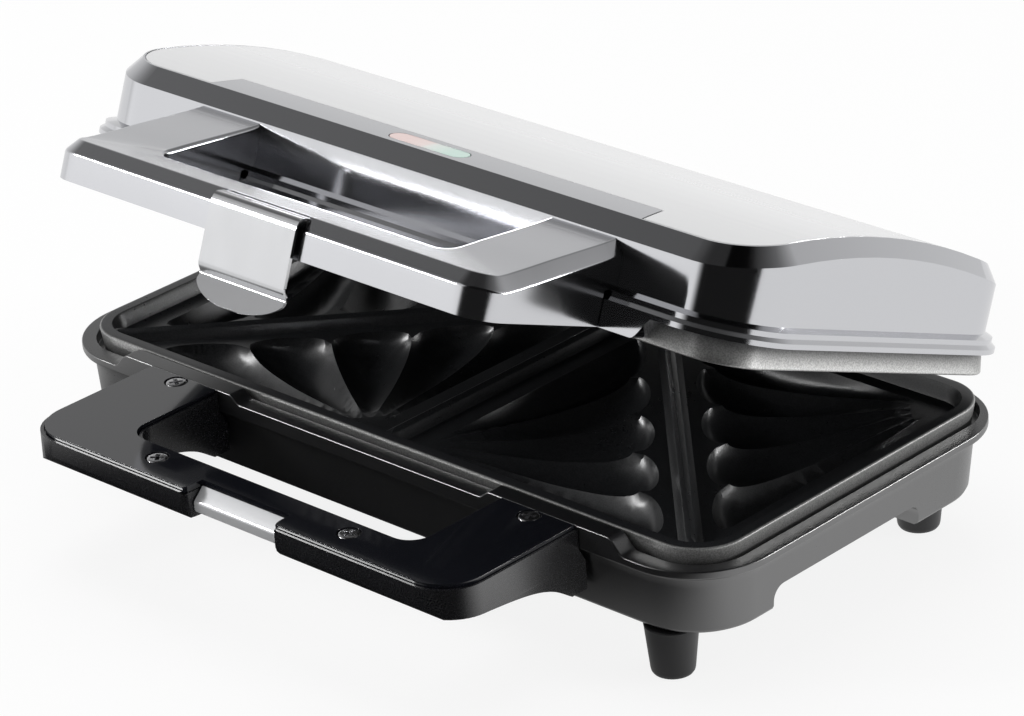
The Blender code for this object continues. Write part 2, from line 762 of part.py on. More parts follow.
def make_plate_screw(name, y):
    """A screw whose head lies beyond the post, pointing at the plate."""
    seat = -post_foot() - FLOOR_THICKNESS - 2 * GAP
    profile = (
        (0, seat + PLATE_SCREW_LENGTH),
        (PLATE_SCREW_R, seat + PLATE_SCREW_LENGTH - PLATE_SCREW_R),
        (PLATE_SCREW_R, seat),
        (PLATE_SCREW_HEAD_R, seat),
        (PLATE_SCREW_HEAD_R, seat - PLATE_SCREW_HEAD),
        (0, seat - PLATE_SCREW_HEAD),
    )
    return moved(turned(name, profile), 0, y, 0)


def turned_over(body, name):
    """A copy for the lid: turned about y, so that it faces down over the lower one."""
    copy = object_from_mesh(name, body.data.copy())
    flip = Matrix.Translation((0, 0, PLATE_GAP)) @ Matrix.Rotation(math.pi, 4, "Y")
    copy.data.transform(flip)
    return copy


# Base


def lip_height(side, root, middle):
    """Height of a lip along the front: its side level, its level at the arm roots, and between them."""

    def height(x, y):
        across = abs(x)
        inner = smooth_step(share_between(across, *ARM_INNER_STEP))
        outer = smooth_step(share_between(across, *ARM_OUTER_STEP))
        return middle + (root - middle) * inner + (side - root) * outer

    return height


def knuckle_cutter(name, x):
    length = 2 * (LUG_WIDTH + EAR_THICKNESS) + OVERRUN
    return moved(along_x(rod(name, HINGE_PIN_R + GAP, length)), x, HINGE_Y, HINGE_Z)


def make_lower_housing():
    stations = lip_stations()
    lip = lip_height(LIP_SIDE_Z, LIP_ROOT_Z, LIP_MIDDLE_Z)
    flare_z = LIP_SIDE_Z - LIP_DEPTH - FLARE_DEPTH / 3
    wall_z = LIP_SIDE_Z - LIP_DEPTH - FLARE_DEPTH
    inner_x = PLATE_HALF_X + PLATE_CLEARANCE
    inner_y = PLATE_HALF_Y + PLATE_CLEARANCE
    inner_r = PLATE_CORNER_R + PLATE_CLEARANCE
    ledge_z = -PLATE_DEPTH - GAP
    ledge_x, ledge_y = inner_x - PLATE_CLEARANCE - LEDGE_WIDTH, inner_y - PLATE_CLEARANCE - LEDGE_WIDTH
    ledge_r = inner_r - PLATE_CLEARANCE - LEDGE_WIDTH
    wall_x, wall_front = LIP_HALF_X - LIP_FLARE, LIP_FRONT + LIP_FLARE - WALL_DRAFT
    wall_back, wall_r = LIP_BACK - WALL_BACK_INSET, LIP_CORNER_R - LIP_FLARE
    floor_x, floor_front = wall_x - WALL_DRAFT, wall_front + WALL_DRAFT
    floor_back, floor_r = wall_back - 2 * WALL_DRAFT, wall_r
    third = LIP_FLARE * 2 / 3
    rings = [
        outline_ring(floor_x - WALL, floor_front + WALL, floor_back - WALL, floor_r - WALL,
                     level(FLOOR_Z + FLOOR_THICKNESS), stations),
        outline_ring(wall_x - WALL, wall_front + WALL, wall_back - WALL, wall_r - WALL,
                     level(ledge_z - LEDGE_THICKNESS - WALL), stations),
        outline_ring(ledge_x, -ledge_y, ledge_y, ledge_r, level(ledge_z - LEDGE_THICKNESS), stations),
        outline_ring(ledge_x, -ledge_y, ledge_y, ledge_r, level(ledge_z), stations),
        outline_ring(inner_x, -inner_y, inner_y, inner_r, level(ledge_z), stations),
        outline_ring(inner_x, -inner_y, inner_y, inner_r, lip, stations),
        outline_ring(LIP_HALF_X, LIP_FRONT, LIP_BACK, LIP_CORNER_R, lip, stations),
        outline_ring(LIP_HALF_X, LIP_FRONT, LIP_BACK, LIP_CORNER_R, level(LIP_SIDE_Z - LIP_DEPTH), stations),
        outline_ring(LIP_HALF_X - third, LIP_FRONT + third, LIP_BACK - third, LIP_CORNER_R - third,
                     level(flare_z), stations),
        outline_ring(wall_x, wall_front, wall_back, wall_r, level(wall_z), stations),
        outline_ring(floor_x, floor_front, floor_back, floor_r, level(FLOOR_Z + FLOOR_EDGE), stations),
        outline_ring(floor_x - FLOOR_EDGE, floor_front + FLOOR_EDGE, floor_back - FLOOR_EDGE,
                     floor_r - FLOOR_EDGE,
                     level(FLOOR_Z), stations),
    ]
    housing = loft("lower_housing", rings)
    for side in (1, -1):
        inner = wall_x - RECESS_DEPTH
        ends = sorted((side * (inner - WALL), side * (floor_x - WALL / 2)))
        backing = block(
            f"recess_wall_{side}",
            (ends[0], RECESS_FRONT - WALL, FLOOR_Z + FLOOR_THICKNESS / 2),
            (ends[1], RECESS_BACK + WALL, RECESS_TOP_Z + WALL),
        )
        join(housing, backing)
        outline = arc(RECESS_FRONT + RECESS_R, RECESS_TOP_Z - RECESS_R, RECESS_R, 180, 90, CORNER_STEPS)
        outline += arc(RECESS_BACK - RECESS_R, RECESS_TOP_Z - RECESS_R, RECESS_R, 90, 0, CORNER_STEPS)
        outline += [(RECESS_BACK, FLOOR_Z - OVERRUN), (RECESS_FRONT, FLOOR_Z - OVERRUN)]
        span = sorted((side * inner, side * (wall_x + OVERRUN)))
        cut(housing, side_profile(f"recess_{side}", outline, *span))
    for side in (1, -1):
        for edge in (1, -1):
            near = side * HINGE_STATION_X + edge * (LUG_WIDTH / 2 + GAP)
            far = near + edge * EAR_THICKNESS
            outline = [
                (floor_back - WALL / 2, FLOOR_Z + 2 * WALL),
                (wall_back - WALL / 3, wall_z + WALL / 2),
                (LIP_BACK - PLATE_CLEARANCE, LIP_SIDE_Z - LIP_DEPTH / 2),
                *arc(HINGE_Y, HINGE_Z, KNUCKLE_R, *EAR_ARC, 2 * CORNER_STEPS),
            ]
            join(housing, side_profile(f"ear_{side}_{edge}", outline, *sorted((near, far))))
        cut(housing, knuckle_cutter(f"ear_bore_{side}", side * HINGE_STATION_X))
    for x, y in foot_places():
        cut(housing, moved(rod("foot_hole", SPIGOT_R + GAP, 2 * OVERRUN), x, y, FLOOR_Z))
    for y in (-POST_Y, POST_Y):
        cut(housing, moved(rod("floor_hole", PLATE_SCREW_R + GAP, 2 * OVERRUN), 0, y, FLOOR_Z))
    gland_hole = along_y(rod("gland_hole", GLAND_R + GAP, 2 * OVERRUN))
    cut(housing, moved(gland_hole, GLAND_X, wall_back - WALL / 2, GLAND_Z))
    return finish(housing, finish_material("housing_black", (0.012, 0.012, 0.013), 0.32, 0))


def foot_places():
    return [(x, y) for y in (FOOT_FRONT_Y, FOOT_BACK_Y) for x in (FOOT_X, -FOOT_X)]


def make_feet():
    rubber = finish_material("foot_black", (0.015, 0.015, 0.016), 0.45, 0)
    names = ("foot_front_right", "foot_front_left", "foot_back_right", "foot_back_left")
    top = FLOOR_Z - GAP
    profile = (
        (0, top + SPIGOT_LENGTH),
        (SPIGOT_R, top + SPIGOT_LENGTH),
        (SPIGOT_R, top),
        (FOOT_TOP_R, top),
        (FOOT_BOTTOM_R + FOOT_EDGE / 2, FOOT_BOTTOM_Z + FOOT_EDGE),
        (FOOT_BOTTOM_R - FOOT_EDGE / 2, FOOT_BOTTOM_Z),
        (0, FOOT_BOTTOM_Z),
    )
    return [
        finish(moved(turned(name, profile), x, y, 0), rubber)
        for name, (x, y) in zip(names, foot_places())
    ]


def handle_plan(half_x, front, radius, back):
    """Plan outline of a handle, or of the opening in one, whose front corners are round."""
    outline = [(-half_x, back)]
    outline += arc(-half_x + radius, front + radius, radius, 180, 270, CORNER_STEPS)
    outline += arc(half_x - radius, front + radius, radius, 270, 360, CORNER_STEPS)
    outline.append((half_x, back))
    return outline


def notch_plan(extra):
    """The latch notch seen from above, flaring at the front; extra widens it."""
    inner = NOTCH_HALF_X + extra
    outer = inner + NOTCH_FLARE
    return [
        (-inner, NOTCH_BACK + extra),
        (-inner, FRAME_FRONT + OVERRUN),
        (-outer, FRAME_FRONT - OVERRUN / 4),
        (-outer, FRAME_FRONT - OVERRUN),
        (outer, FRAME_FRONT - OVERRUN),
        (outer, FRAME_FRONT - OVERRUN / 4),
        (inner, FRAME_FRONT + OVERRUN),
        (inner, NOTCH_BACK + extra),
    ]


def frame_root():
    return LIP_FRONT - GAP


def screw_places():
    return [(side * x, y) for x, y in SCREW_PLACES for side in (1, -1)]


def cover_outline(extra):
    """The handle cover's plan, a broad U; extra widens it all round."""
    half_x = FRAME_HALF_X - COVER_INSET + extra
    outline = handle_plan(half_x, FRAME_FRONT + COVER_INSET - extra, FRAME_CORNER_R, frame_root())
    opening = handle_plan(HANDLE_OPENING_X + COVER_INSET - extra, FRAME_OPENING_FRONT - COVER_INSET + extra,
                          OPENING_FRONT_R, frame_root())
    return outline + list(reversed(opening))


def make_lower_handle():
    under = FRAME_TOE_Z
    reach = frame_root() - (FRAME_FRONT + FRAME_TOE)
    drop = FRAME_ROOT_Z - under
    flare_z = LIP_SIDE_Z - LIP_DEPTH - FLARE_DEPTH
    deepest = FRAME_ARM_SHARES[-1][1]
    outline = [(FRAME_FRONT, FRAME_TOP_Z), (FRAME_FRONT, FRAME_FRONT_Z)]
    outline.append((FRAME_FRONT + FRAME_TOE, under))
    for share, fall in FRAME_ARM_SHARES:
        outline.append((FRAME_FRONT + FRAME_TOE + reach * share, under + drop * fall / deepest))
    root_y = frame_root() + LIP_FLARE - 2 * WALL_DRAFT
    outline += [(root_y, FRAME_ROOT_Z), (root_y, flare_z), (frame_root(), LIP_SIDE_Z - LIP_DEPTH)]
    outline.append((frame_root(), FRAME_TOP_Z))
    frame = side_profile("lower_handle_frame", outline, -FRAME_HALF_X, FRAME_HALF_X)
    low, high = FRAME_ROOT_Z - OVERRUN, OVERRUN
    back = root_y + OVERRUN
    plan = handle_plan(FRAME_HALF_X, FRAME_FRONT, FRAME_CORNER_R, back)
    keep_common(frame, extruded("frame_plan", [plan], low, high))
    opening = handle_plan(HANDLE_OPENING_X, FRAME_OPENING_FRONT, OPENING_FRONT_R, back)
    cut(frame, extruded("frame_opening", [opening], low, high))
    seat_z = COVER_TOP_Z - COVER_THICKNESS - GAP
    seat = [(x, y + OVERRUN if y == frame_root() else y) for x, y in cover_outline(GAP)]
    cut(frame, extruded("cover_seat", [seat], seat_z, OVERRUN))
    cut(frame, extruded("frame_notch", [notch_plan(0)], low, high))
    for x, y in screw_places():
        bore_length = 2 * COVER_SCREW_LENGTH
        bore = rod("frame_bore", COVER_SCREW_R + GAP, bore_length)
        cut(frame, moved(bore, x, y, seat_z - COVER_SCREW_LENGTH - GAP + bore_length / 2))
    finish(frame, finish_material("frame_black", (0.011, 0.011, 0.012), 0.28, 0))

    holes = [
        arc(x, y, COVER_SCREW_HEAD_R + GAP, 360, 360 / ROUND_STEPS, ROUND_STEPS - 1)
        for x, y in screw_places()
    ]
    bottom_z = COVER_TOP_Z - COVER_THICKNESS
    cover = extruded("lower_handle_cover", [cover_outline(0), *holes], bottom_z, COVER_TOP_Z)
    cut(cover, extruded("cover_notch", [notch_plan(0)], COVER_TOP_Z - COVER_THICKNESS - OVERRUN, high))
    finish(cover, finish_material("cover_gloss_black", (0.01, 0.011, 0.014), 0.08, 0), False)

    steel = finish_material("screw_steel", (0.35, 0.35, 0.36), 0.3, 1)
    seat_top = COVER_TOP_Z - COVER_THICKNESS
    names = (
        "cover_screw_back_right", "cover_screw_back_left",
        "cover_screw_front_right", "cover_screw_front_left",
    )
    screws = []
    for name, (x, y) in zip(names, screw_places()):
        profile = (
            (0, COVER_TOP_Z),
            (COVER_SCREW_HEAD_R - GAP, COVER_TOP_Z),
            (COVER_SCREW_HEAD_R, COVER_TOP_Z - GAP),
            (COVER_SCREW_HEAD_R, seat_top),
            (COVER_SCREW_R, seat_top),
            (COVER_SCREW_R, seat_top - COVER_SCREW_LENGTH),
            (0, seat_top - COVER_SCREW_LENGTH),
        )
        screw = moved(turned(name, profile), x, y, 0)
        for long_x, long_y in ((CROSS_LENGTH, CROSS_WIDTH), (CROSS_WIDTH, CROSS_LENGTH)):
            slot = block(f"{name}_slot", (x - long_x / 2, y - long_y / 2, COVER_TOP_Z - CROSS_DEPTH),
                         (x + long_x / 2, y + long_y / 2, COVER_TOP_Z + OVERRUN))
            cut(screw, slot)
        screws.append(finish(screw, steel))

    outline = [
        (NOTCH_BACK - GAP, CATCH_TOP_Z),
        (CATCH_NOSE_Y, CATCH_NOSE_TOP_Z),
        (CATCH_NOSE_Y, CATCH_NOSE_Z),
        (NOTCH_BACK - GAP, CATCH_BOTTOM_Z),
    ]
    half = NOTCH_HALF_X - GAP
    catch = side_profile("catch_plate", outline, -half, half)
    finish(catch, finish_material("catch_steel", (0.62, 0.62, 0.63), 0.18, 1), False)
    return [frame, cover, *screws, catch]


def make_hinge_pins():
    steel = finish_material("pin_steel", (0.5, 0.5, 0.51), 0.25, 1)
    half = LUG_WIDTH / 2 + EAR_THICKNESS + 2 * GAP
    profile = (
        (0, half + HINGE_PIN_HEAD),
        (HINGE_PIN_HEAD_R, half + HINGE_PIN_HEAD),
        (HINGE_PIN_HEAD_R, half),
        (HINGE_PIN_R, half),
        (HINGE_PIN_R, -half),
        (0, -half),
    )
    pins = []
    for name, side in (("hinge_pin_right", 1), ("hinge_pin_left", -1)):
        pin = along_x(turned(name, profile))
        pin.data.transform(Matrix.Rotation(0 if side > 0 else math.pi, 4, "Z"))
        pins.append(finish(moved(pin, side * HINGE_STATION_X, HINGE_Y, HINGE_Z), steel))
    return pins


def make_gland():
    wall = LIP_BACK - WALL_BACK_INSET
    length = WALL + 2 * GLAND_FLANGE
    profile = (
        (GLAND_BORE_R, GLAND_FLANGE),
        (GLAND_FLANGE_R, GLAND_FLANGE),
        (GLAND_FLANGE_R, 0),
        (GLAND_R, 0),
        (GLAND_R, GLAND_FLANGE - length),
        (GLAND_BORE_R, GLAND_FLANGE - length),
    )
    gland = along_y(turned("cord_gland", profile, closed=True))
    moved(gland, GLAND_X, wall + GAP, GLAND_Z)
    return finish(gland, finish_material("gland_black", (0.02, 0.02, 0.02), 0.5, 0))


# Lid, given as it lies when closed


def arch(drop):
    """Height of the lid's arched top, lowered by drop."""

    def height(x, y):
        return ARCH_TOP_Z - drop - ARCH_CURVE * (y - ARCH_CENTRE_Y) ** 2

    return height


def arch_slab(name, low_drop, high_rise):
    """A slab under the arched top, from low_drop below it to high_rise above it."""
    low, high = arch(low_drop), arch(-high_rise)
    front, back = FLANGE_FRONT, FLANGE_BACK
    steps = 2 * SIDE_STEPS
    places = [front + (back - front) * i / steps for i in range(steps + 1)]
    outline = [(y, low(0, y)) for y in places] + [(y, high(0, y)) for y in reversed(places)]
    return side_profile(name, outline, -FLANGE_HALF_X, FLANGE_HALF_X)


def panel_plan(extra):
    """The top panel seen from above, notched at the front for the chromed strip."""
    inset = LID_WALL_INSET + BAND_INSET + PANEL_EDGE - extra
    half_x = FLANGE_HALF_X - inset
    front, back = FLANGE_FRONT + inset, FLANGE_BACK - inset + LID_WALL_INSET - LID_BACK_INSET
    radius = LID_CORNER_R - inset
    right = half_outline(half_x, front, back, radius)
    strip = STRIP_HALF_X - extra
    notch = [(strip - STRIP_SLANT, STRIP_BACK - extra), (strip, front)]
    half = notch + right
    return half + [(-x, y) for x, y in reversed(half)]


def lid_ring(inset, height, stations, back_share=1):
    """A ring of the lid's outside, drawn in from the flange; the back is drawn in by a share of that."""
    return outline_ring(FLANGE_HALF_X - inset, FLANGE_FRONT + inset, FLANGE_BACK - inset * back_share,
                        LID_CORNER_R - inset, height, stations)


def make_lid_housing():
    stations = lip_stations()
    lip = lip_height(FLANGE_Z, FLANGE_MIDDLE_Z, FLANGE_MIDDLE_Z)
    wall = LID_WALL_INSET
    back = LID_BACK_INSET / LID_WALL_INSET
    inner_x, inner_y = PLATE_HALF_X + PLATE_CLEARANCE, PLATE_HALF_Y + PLATE_CLEARANCE / 2
    inner_r = PLATE_CORNER_R + PLATE_CLEARANCE
    seat = level(FLANGE_Z + GAP / 2)
    ledge_r = inner_r - LEDGE_WIDTH
    ledge_z = FLANGE_Z + LEDGE_THICKNESS
    ledge_back = LID_LEDGE_HALF_Y - LID_WALL
    roof = arch(PANEL_THICKNESS + LID_WALL + GAP)
    shoulder = arch(BAND_DROP + LID_WALL / 2)
    rings = [
        lid_ring(wall + BAND_INSET + LID_WALL / 2, roof, stations, back),
        lid_ring(wall + LID_WALL, shoulder, stations, back),
        lid_ring(wall + LID_WALL, level(LID_WALL_Z), stations, back),
        outline_ring(LID_LEDGE_HALF_X, -LID_LEDGE_HALF_Y, ledge_back, ledge_r, level(ledge_z), stations),
        outline_ring(LID_LEDGE_HALF_X, -LID_LEDGE_HALF_Y, ledge_back, ledge_r, seat, stations),
        outline_ring(inner_x, -inner_y, inner_y, inner_r, seat, stations),
        outline_ring(inner_x, -inner_y, inner_y, inner_r, lip, stations),
        lid_ring(0, lip, stations),
        lid_ring(0, level(FLANGE_Z + BEAD), stations),
        lid_ring(BEAD_INSET, level(FLANGE_Z + BEAD + GROOVE), stations),
        lid_ring(BEAD_INSET, level(FLANGE_Z + 2 * BEAD + GROOVE), stations),
        lid_ring(wall, level(LID_WALL_Z), stations, back),
        lid_ring(wall, arch(BAND_DROP), stations, back),
        lid_ring(wall + BAND_INSET, arch(0), stations, back),
    ]
    lid = loft("lid_housing", rings, True)
    recess = extruded("panel_recess", [panel_plan(GAP)], 0, ARCH_TOP_Z + OVERRUN)
    keep_common(recess, arch_slab("recess_slab", PANEL_THICKNESS + GAP, OVERRUN))
    cut(lid, baked(recess))
    for side in (1, -1):
        wall_back = FLANGE_BACK - LID_BACK_INSET
        outline = [
            (FLANGE_BACK - LID_WALL, FLANGE_Z + BEAD / 2),
            (wall_back - LID_WALL / 2, ARCH_TOP_Z - ARCH_CURVE * wall_back * wall_back - 2 * BAND_DROP),
            *arc(HINGE_Y, HINGE_Z, KNUCKLE_R, *LUG_ARC, 2 * CORNER_STEPS),
        ]
        middle = side * HINGE_STATION_X
        join(lid, side_profile(f"lug_{side}", outline, middle - LUG_WIDTH / 2, middle + LUG_WIDTH / 2))
        cut(lid, knuckle_cutter(f"lug_bore_{side}", middle))
    tower_low = upper_tower_z()
    for y in (-POST_Y, POST_Y):
        top = roof(0, y) + LID_WALL / 2
        tower = rod("tower", TOWER_R, top - tower_low)
        join(lid, moved(tower, 0, y, (top + tower_low) / 2))
    for y in (-POST_Y, POST_Y):
        high = ARCH_TOP_Z + OVERRUN
        low = tower_low + FLOOR_THICKNESS
        cut(lid, moved(rod("tower_bore", TOWER_BORE_R, high - low), 0, y, (high + low) / 2))
        cut(lid, moved(rod("tower_hole", PLATE_SCREW_R + GAP, 2 * OVERRUN), 0, y, tower_low))
    window = window_plan(GAP)
    floor = arch(WINDOW_DEPTH + GAP)(0, WINDOW_Y)
    cut(lid, extruded("window_slot", [window], floor, ARCH_TOP_Z + OVERRUN))
    for side in (-1, 1):
        lamp_bed = along_x(rod("lamp_bed", LAMP_R + GAP, LAMP_LENGTH + 2 * GAP))
        cut(lid, moved(lamp_bed, side * WINDOW_LENGTH / 4, WINDOW_Y, lamp_z()))
    baked(use_manifold_solver(lid))
    return finish(lid, finish_material("lid_chrome", (0.62, 0.625, 0.65), 0.08, 1))


def upper_tower_z():
    """Underside of the lid's screw towers, just above the upper plate's posts."""
    return PLATE_GAP + post_foot() + GAP


def window_plan(extra):
    radius = WINDOW_WIDTH / 2 + extra
    reach = WINDOW_LENGTH / 2 - WINDOW_WIDTH / 2
    steps = 2 * CORNER_STEPS
    return arc(reach, WINDOW_Y, radius, -90, 90, steps) + arc(-reach, WINDOW_Y, radius, 90, 270, steps)


def lamp_z():
    return arch(WINDOW_DEPTH + 2 * GAP)(0, WINDOW_Y) - LAMP_R


def make_lid_parts():
    panel = extruded("lid_top_panel", [panel_plan(0)], 0, ARCH_TOP_Z + OVERRUN)
    keep_common(panel, arch_slab("panel_slab", PANEL_THICKNESS, 0))
    finish(panel, finish_material("panel_brushed", (0.86, 0.87, 0.88), 0.3, 1), False)
    window = extruded("indicator_window", [window_plan(0)], arch(WINDOW_DEPTH)(0, WINDOW_Y), ARCH_TOP_Z)
    keep_common(window, arch_slab("window_slab", 2 * WINDOW_DEPTH, 0))
    finish(window, finish_material("window_clear", (0.85, 0.85, 0.86), 0.1, 0), False)
    lamps = []
    for name, side, colour in (("red_lamp", -1, (0.8, 0.45, 0.42)), ("green_lamp", 1, (0.5, 0.75, 0.62))):
        lamp = along_x(rod(name, LAMP_R, LAMP_LENGTH))
        moved(lamp, side * WINDOW_LENGTH / 4, WINDOW_Y, lamp_z())
        lamps.append(finish(lamp, finish_material(name, colour, 0.3, 0)))
    return [panel, window, *lamps]


def make_upper_handle():
    reach = FLANGE_FRONT + LID_WALL_INSET - GAP - GRIP_FRONT
    shoulder_y = FLANGE_FRONT - GAP
    outline = [(GRIP_FRONT, GRIP_BOTTOM_Z), (GRIP_FRONT, GRIP_TOP_Z)]
    deepest = GRIP_ARM_SHARES[-1][1]
    rise = GRIP_ROOT_Z - GRIP_TOP_Z
    for share, height in GRIP_ARM_SHARES:
        outline.append((GRIP_FRONT + reach * share, GRIP_TOP_Z + rise * height / deepest))
    outline += [(GRIP_FRONT + reach, LID_WALL_Z), (shoulder_y, LID_WALL_Z - BEAD), (shoulder_y, GRIP_BOTTOM_Z)]
    grip = side_profile("upper_handle", outline, -GRIP_HALF_X, GRIP_HALF_X)
    back = shoulder_y + LID_WALL_INSET + OVERRUN
    plan = handle_plan(GRIP_HALF_X, GRIP_FRONT, GRIP_CORNER_R, back)
    low, high = GRIP_BOTTOM_Z - OVERRUN, ARCH_TOP_Z
    keep_common(grip, extruded("grip_plan", [plan], low, high))
    baked(grip)
    shape = bmesh.new()
    shape.from_mesh(grip.data)
    bmesh.ops.dissolve_limit(shape, angle_limit=FLAT_ANGLE, verts=shape.verts, edges=shape.edges)
    edges = [edge for edge in shape.edges if is_top_outer(edge)]
    bmesh.ops.bevel(shape, geom=edges, offset=GRIP_BEVEL, segments=1, affect="EDGES")
    shape.to_mesh(grip.data)
    shape.free()
    opening = handle_plan(GRIP_OPENING_X, GRIP_OPENING_FRONT, GRIP_OPENING_R, back)
    cut(grip, extruded("grip_opening", [opening], low, high))
    slot_half = LATCH_HALF_X + LATCH_SIDE_GAP
    slot_back = LATCH_Y + LATCH_BARREL_R + GAP
    slot_low = LATCH_Z - LATCH_BARREL_R - GAP
    low_corner = (-slot_half, GRIP_FRONT - OVERRUN, slot_low)
    cut(grip, block("latch_slot", low_corner, (slot_half, slot_back, GRIP_TOP_Z + OVERRUN)))
    pin_half = slot_half + LATCH_PIN_OVERHANG + GAP
    cut(grip, moved(along_x(rod("pin_bore", LATCH_PIN_R + GAP, 2 * pin_half)), 0, LATCH_Y, LATCH_Z))
    return finish(grip, finish_material("handle_chrome", (0.63, 0.635, 0.65), 0.07, 1))


def is_top_outer(edge):
    """Whether an edge joins the handle's top to its front, its sides or a round corner."""
    faces = edge.link_faces
    if len(faces) != 2:
        return False
    flat = [face for face in faces if face.normal.z > FACES_UP]
    upright = [face for face in faces if abs(face.normal.z) < FACES_SIDEWAYS and face.normal.y < FACES_UP]
    return len(flat) == 1 and len(upright) == 1


def sheet_outline(path, thickness):
    """Closed outline of a bent sheet along a path of (y, z) points."""
    left, right = [], []
    for i, (y, z) in enumerate(path):
        before = Vector(path[max(i - 1, 0)])
        after = Vector(path[min(i + 1, len(path) - 1)])
        here = Vector((y, z))
        first = (here - before).normalized() if i else (after - here).normalized()
        second = (after - here).normalized() if i < len(path) - 1 else first
        along = (first + second).normalized()
        side = Vector((-along.y, along.x)) * (thickness / 2) / max(along.dot(first), 0.5)
        left.append(tuple(here + side))
        right.append(tuple(here - side))
    return left + list(reversed(right))


def make_latch():
    path = [
        (LATCH_Y, LATCH_Z + LATCH_PIN_R),
        (LATCH_WRAP_Y, LATCH_WRAP_Z),
        (LATCH_FACE_Y, LATCH_FACE_TOP_Z),
        (LATCH_FACE_Y, LATCH_FOLD_Z),
        (LATCH_HOOK_Y, LATCH_HOOK_Z),
        (LATCH_TAB_Y, LATCH_TAB_Z),
    ]
    clip = side_profile("latch_clip", sheet_outline(path, LATCH_SHEET), -LATCH_HALF_X, LATCH_HALF_X)
    barrel = moved(along_x(rod("latch_barrel", LATCH_BARREL_R, 2 * LATCH_HALF_X)), 0, LATCH_Y, LATCH_Z)
    join(clip, barrel)
    bore = rod("latch_bore", LATCH_PIN_R + GAP, 2 * LATCH_HALF_X + OVERRUN)
    cut(clip, moved(along_x(bore), 0, LATCH_Y, LATCH_Z))
    tab_drop = LATCH_HOOK_Z - LATCH_TAB_Z
    steps = 3 * CORNER_STEPS
    turns = [-math.pi * i / steps for i in range(steps + 1)]
    tab = [(LATCH_TAB_HALF_X * math.cos(t), LATCH_HOOK_Z + tab_drop * math.sin(t)) for t in turns]
    tab += [(-LATCH_TAB_HALF_X, LATCH_Z + OVERRUN), (LATCH_TAB_HALF_X, LATCH_Z + OVERRUN)]
    face = extruded("latch_outline", [tab], -LATCH_Y - OVERRUN, -LATCH_TAB_Y + OVERRUN)
    face.data.transform(Matrix.Rotation(math.radians(90), 4, "X"))
    keep_common(clip, face)
    use_manifold_solver(clip)
    finish(clip, finish_material("latch_chrome", (0.6, 0.6, 0.62), 0.1, 1))
    pin_length = 2 * (LATCH_HALF_X + LATCH_SIDE_GAP + LATCH_PIN_OVERHANG)
    pin = moved(along_x(rod("latch_pin", LATCH_PIN_R, pin_length)), 0, LATCH_Y, LATCH_Z)
    finish(pin, finish_material("latch_pin_steel", (0.5, 0.5, 0.51), 0.25, 1))
    return clip, pin


def make_controls():
    """The thermostat, the fuse and the terminal block, on the back of the upper reflector."""
    deck = PLATE_GAP + reflector_back() + GAP
    thermostat = turned("thermostat", (
        (0, THERMOSTAT_HEIGHT),
        (THERMOSTAT_R - FUSE_R, THERMOSTAT_HEIGHT),
        (THERMOSTAT_R - FUSE_R, THERMOSTAT_HEIGHT / 2),
        (THERMOSTAT_R, THERMOSTAT_HEIGHT / 2),
        (THERMOSTAT_R, 0),
        (0, 0),
    ))
    steel = finish_material("thermostat_steel", (0.6, 0.6, 0.58), 0.4, 1)
    finish(moved(thermostat, THERMOSTAT_X, 0, deck), steel)
    fuse = moved(along_y(rod("thermal_fuse", FUSE_R, FUSE_LENGTH)), FUSE_X, 0, deck + FUSE_R)
    finish(fuse, finish_material("fuse_sleeve", (0.85, 0.84, 0.8), 0.6, 0))
    terminals = block("terminal_block", (BLOCK_X - BLOCK_WIDTH / 2, -BLOCK_LENGTH / 2, deck),
                      (BLOCK_X + BLOCK_WIDTH / 2, BLOCK_LENGTH / 2, deck + BLOCK_HEIGHT))
    finish(terminals, finish_material("terminal_white", (0.8, 0.8, 0.76), 0.5, 0), False)
    return [thermostat, fuse, terminals]


def new_frame(name, parent, x, y, z, turn=0):
    frame = bpy.data.objects.new(name, None)
    parts.objects.link(frame)
    frame.parent = parent
    frame.location = (x, y, z)
    frame.rotation_euler = (turn, 0, 0)
    return frame


def carry(bodies, frame, x=0, y=0, z=0):
    """Parents pieces, and what cuts them, to a frame whose closed place is (x, y, z)."""
    for body in bodies:
        tools = [modifier.object for modifier in body.modifiers if modifier.type == "BOOLEAN"]
        for item in (body, *tools):
            item.parent = frame
            item.location = (-x, -y, -z)


clear_scene()
parts = new_collection("sandwich_maker", False)
cutters = new_collection("cutters", True)

coating = finish_material("plate_non_stick", (0.03, 0.03, 0.032), 0.42, 0.3)
sheath = finish_material("element_steel", (0.3, 0.3, 0.3), 0.45, 1)
bright = finish_material("reflector_aluminium", (0.8, 0.8, 0.8), 0.3, 1)
zinc = finish_material("plate_screw_zinc", (0.6, 0.6, 0.58), 0.35, 1)

lower_plate = finish(make_plate("lower_plate"), coating)
lower_element = finish(make_element("lower_heating_element"), sheath)
lower_reflector = finish(make_reflector("lower_reflector"), bright)
lower_screws = [
    finish(make_plate_screw("lower_plate_screw_front", -POST_Y), zinc),
    finish(make_plate_screw("lower_plate_screw_back", POST_Y), zinc),
]
base = [lower_plate, lower_element, lower_reflector, *lower_screws]
lid = [
    turned_over(lower_plate, "upper_plate"),
    turned_over(lower_element, "upper_heating_element"),
    turned_over(lower_reflector, "upper_reflector"),
    turned_over(lower_screws[0], "upper_plate_screw_front"),
    turned_over(lower_screws[1], "upper_plate_screw_back"),
]
base += [make_lower_housing(), *make_feet(), *make_lower_handle(), *make_hinge_pins(), make_gland()]
latch_clip, latch_pin = make_latch()
lid += [make_lid_housing(), *make_lid_parts(), make_upper_handle(), latch_pin, *make_controls()]

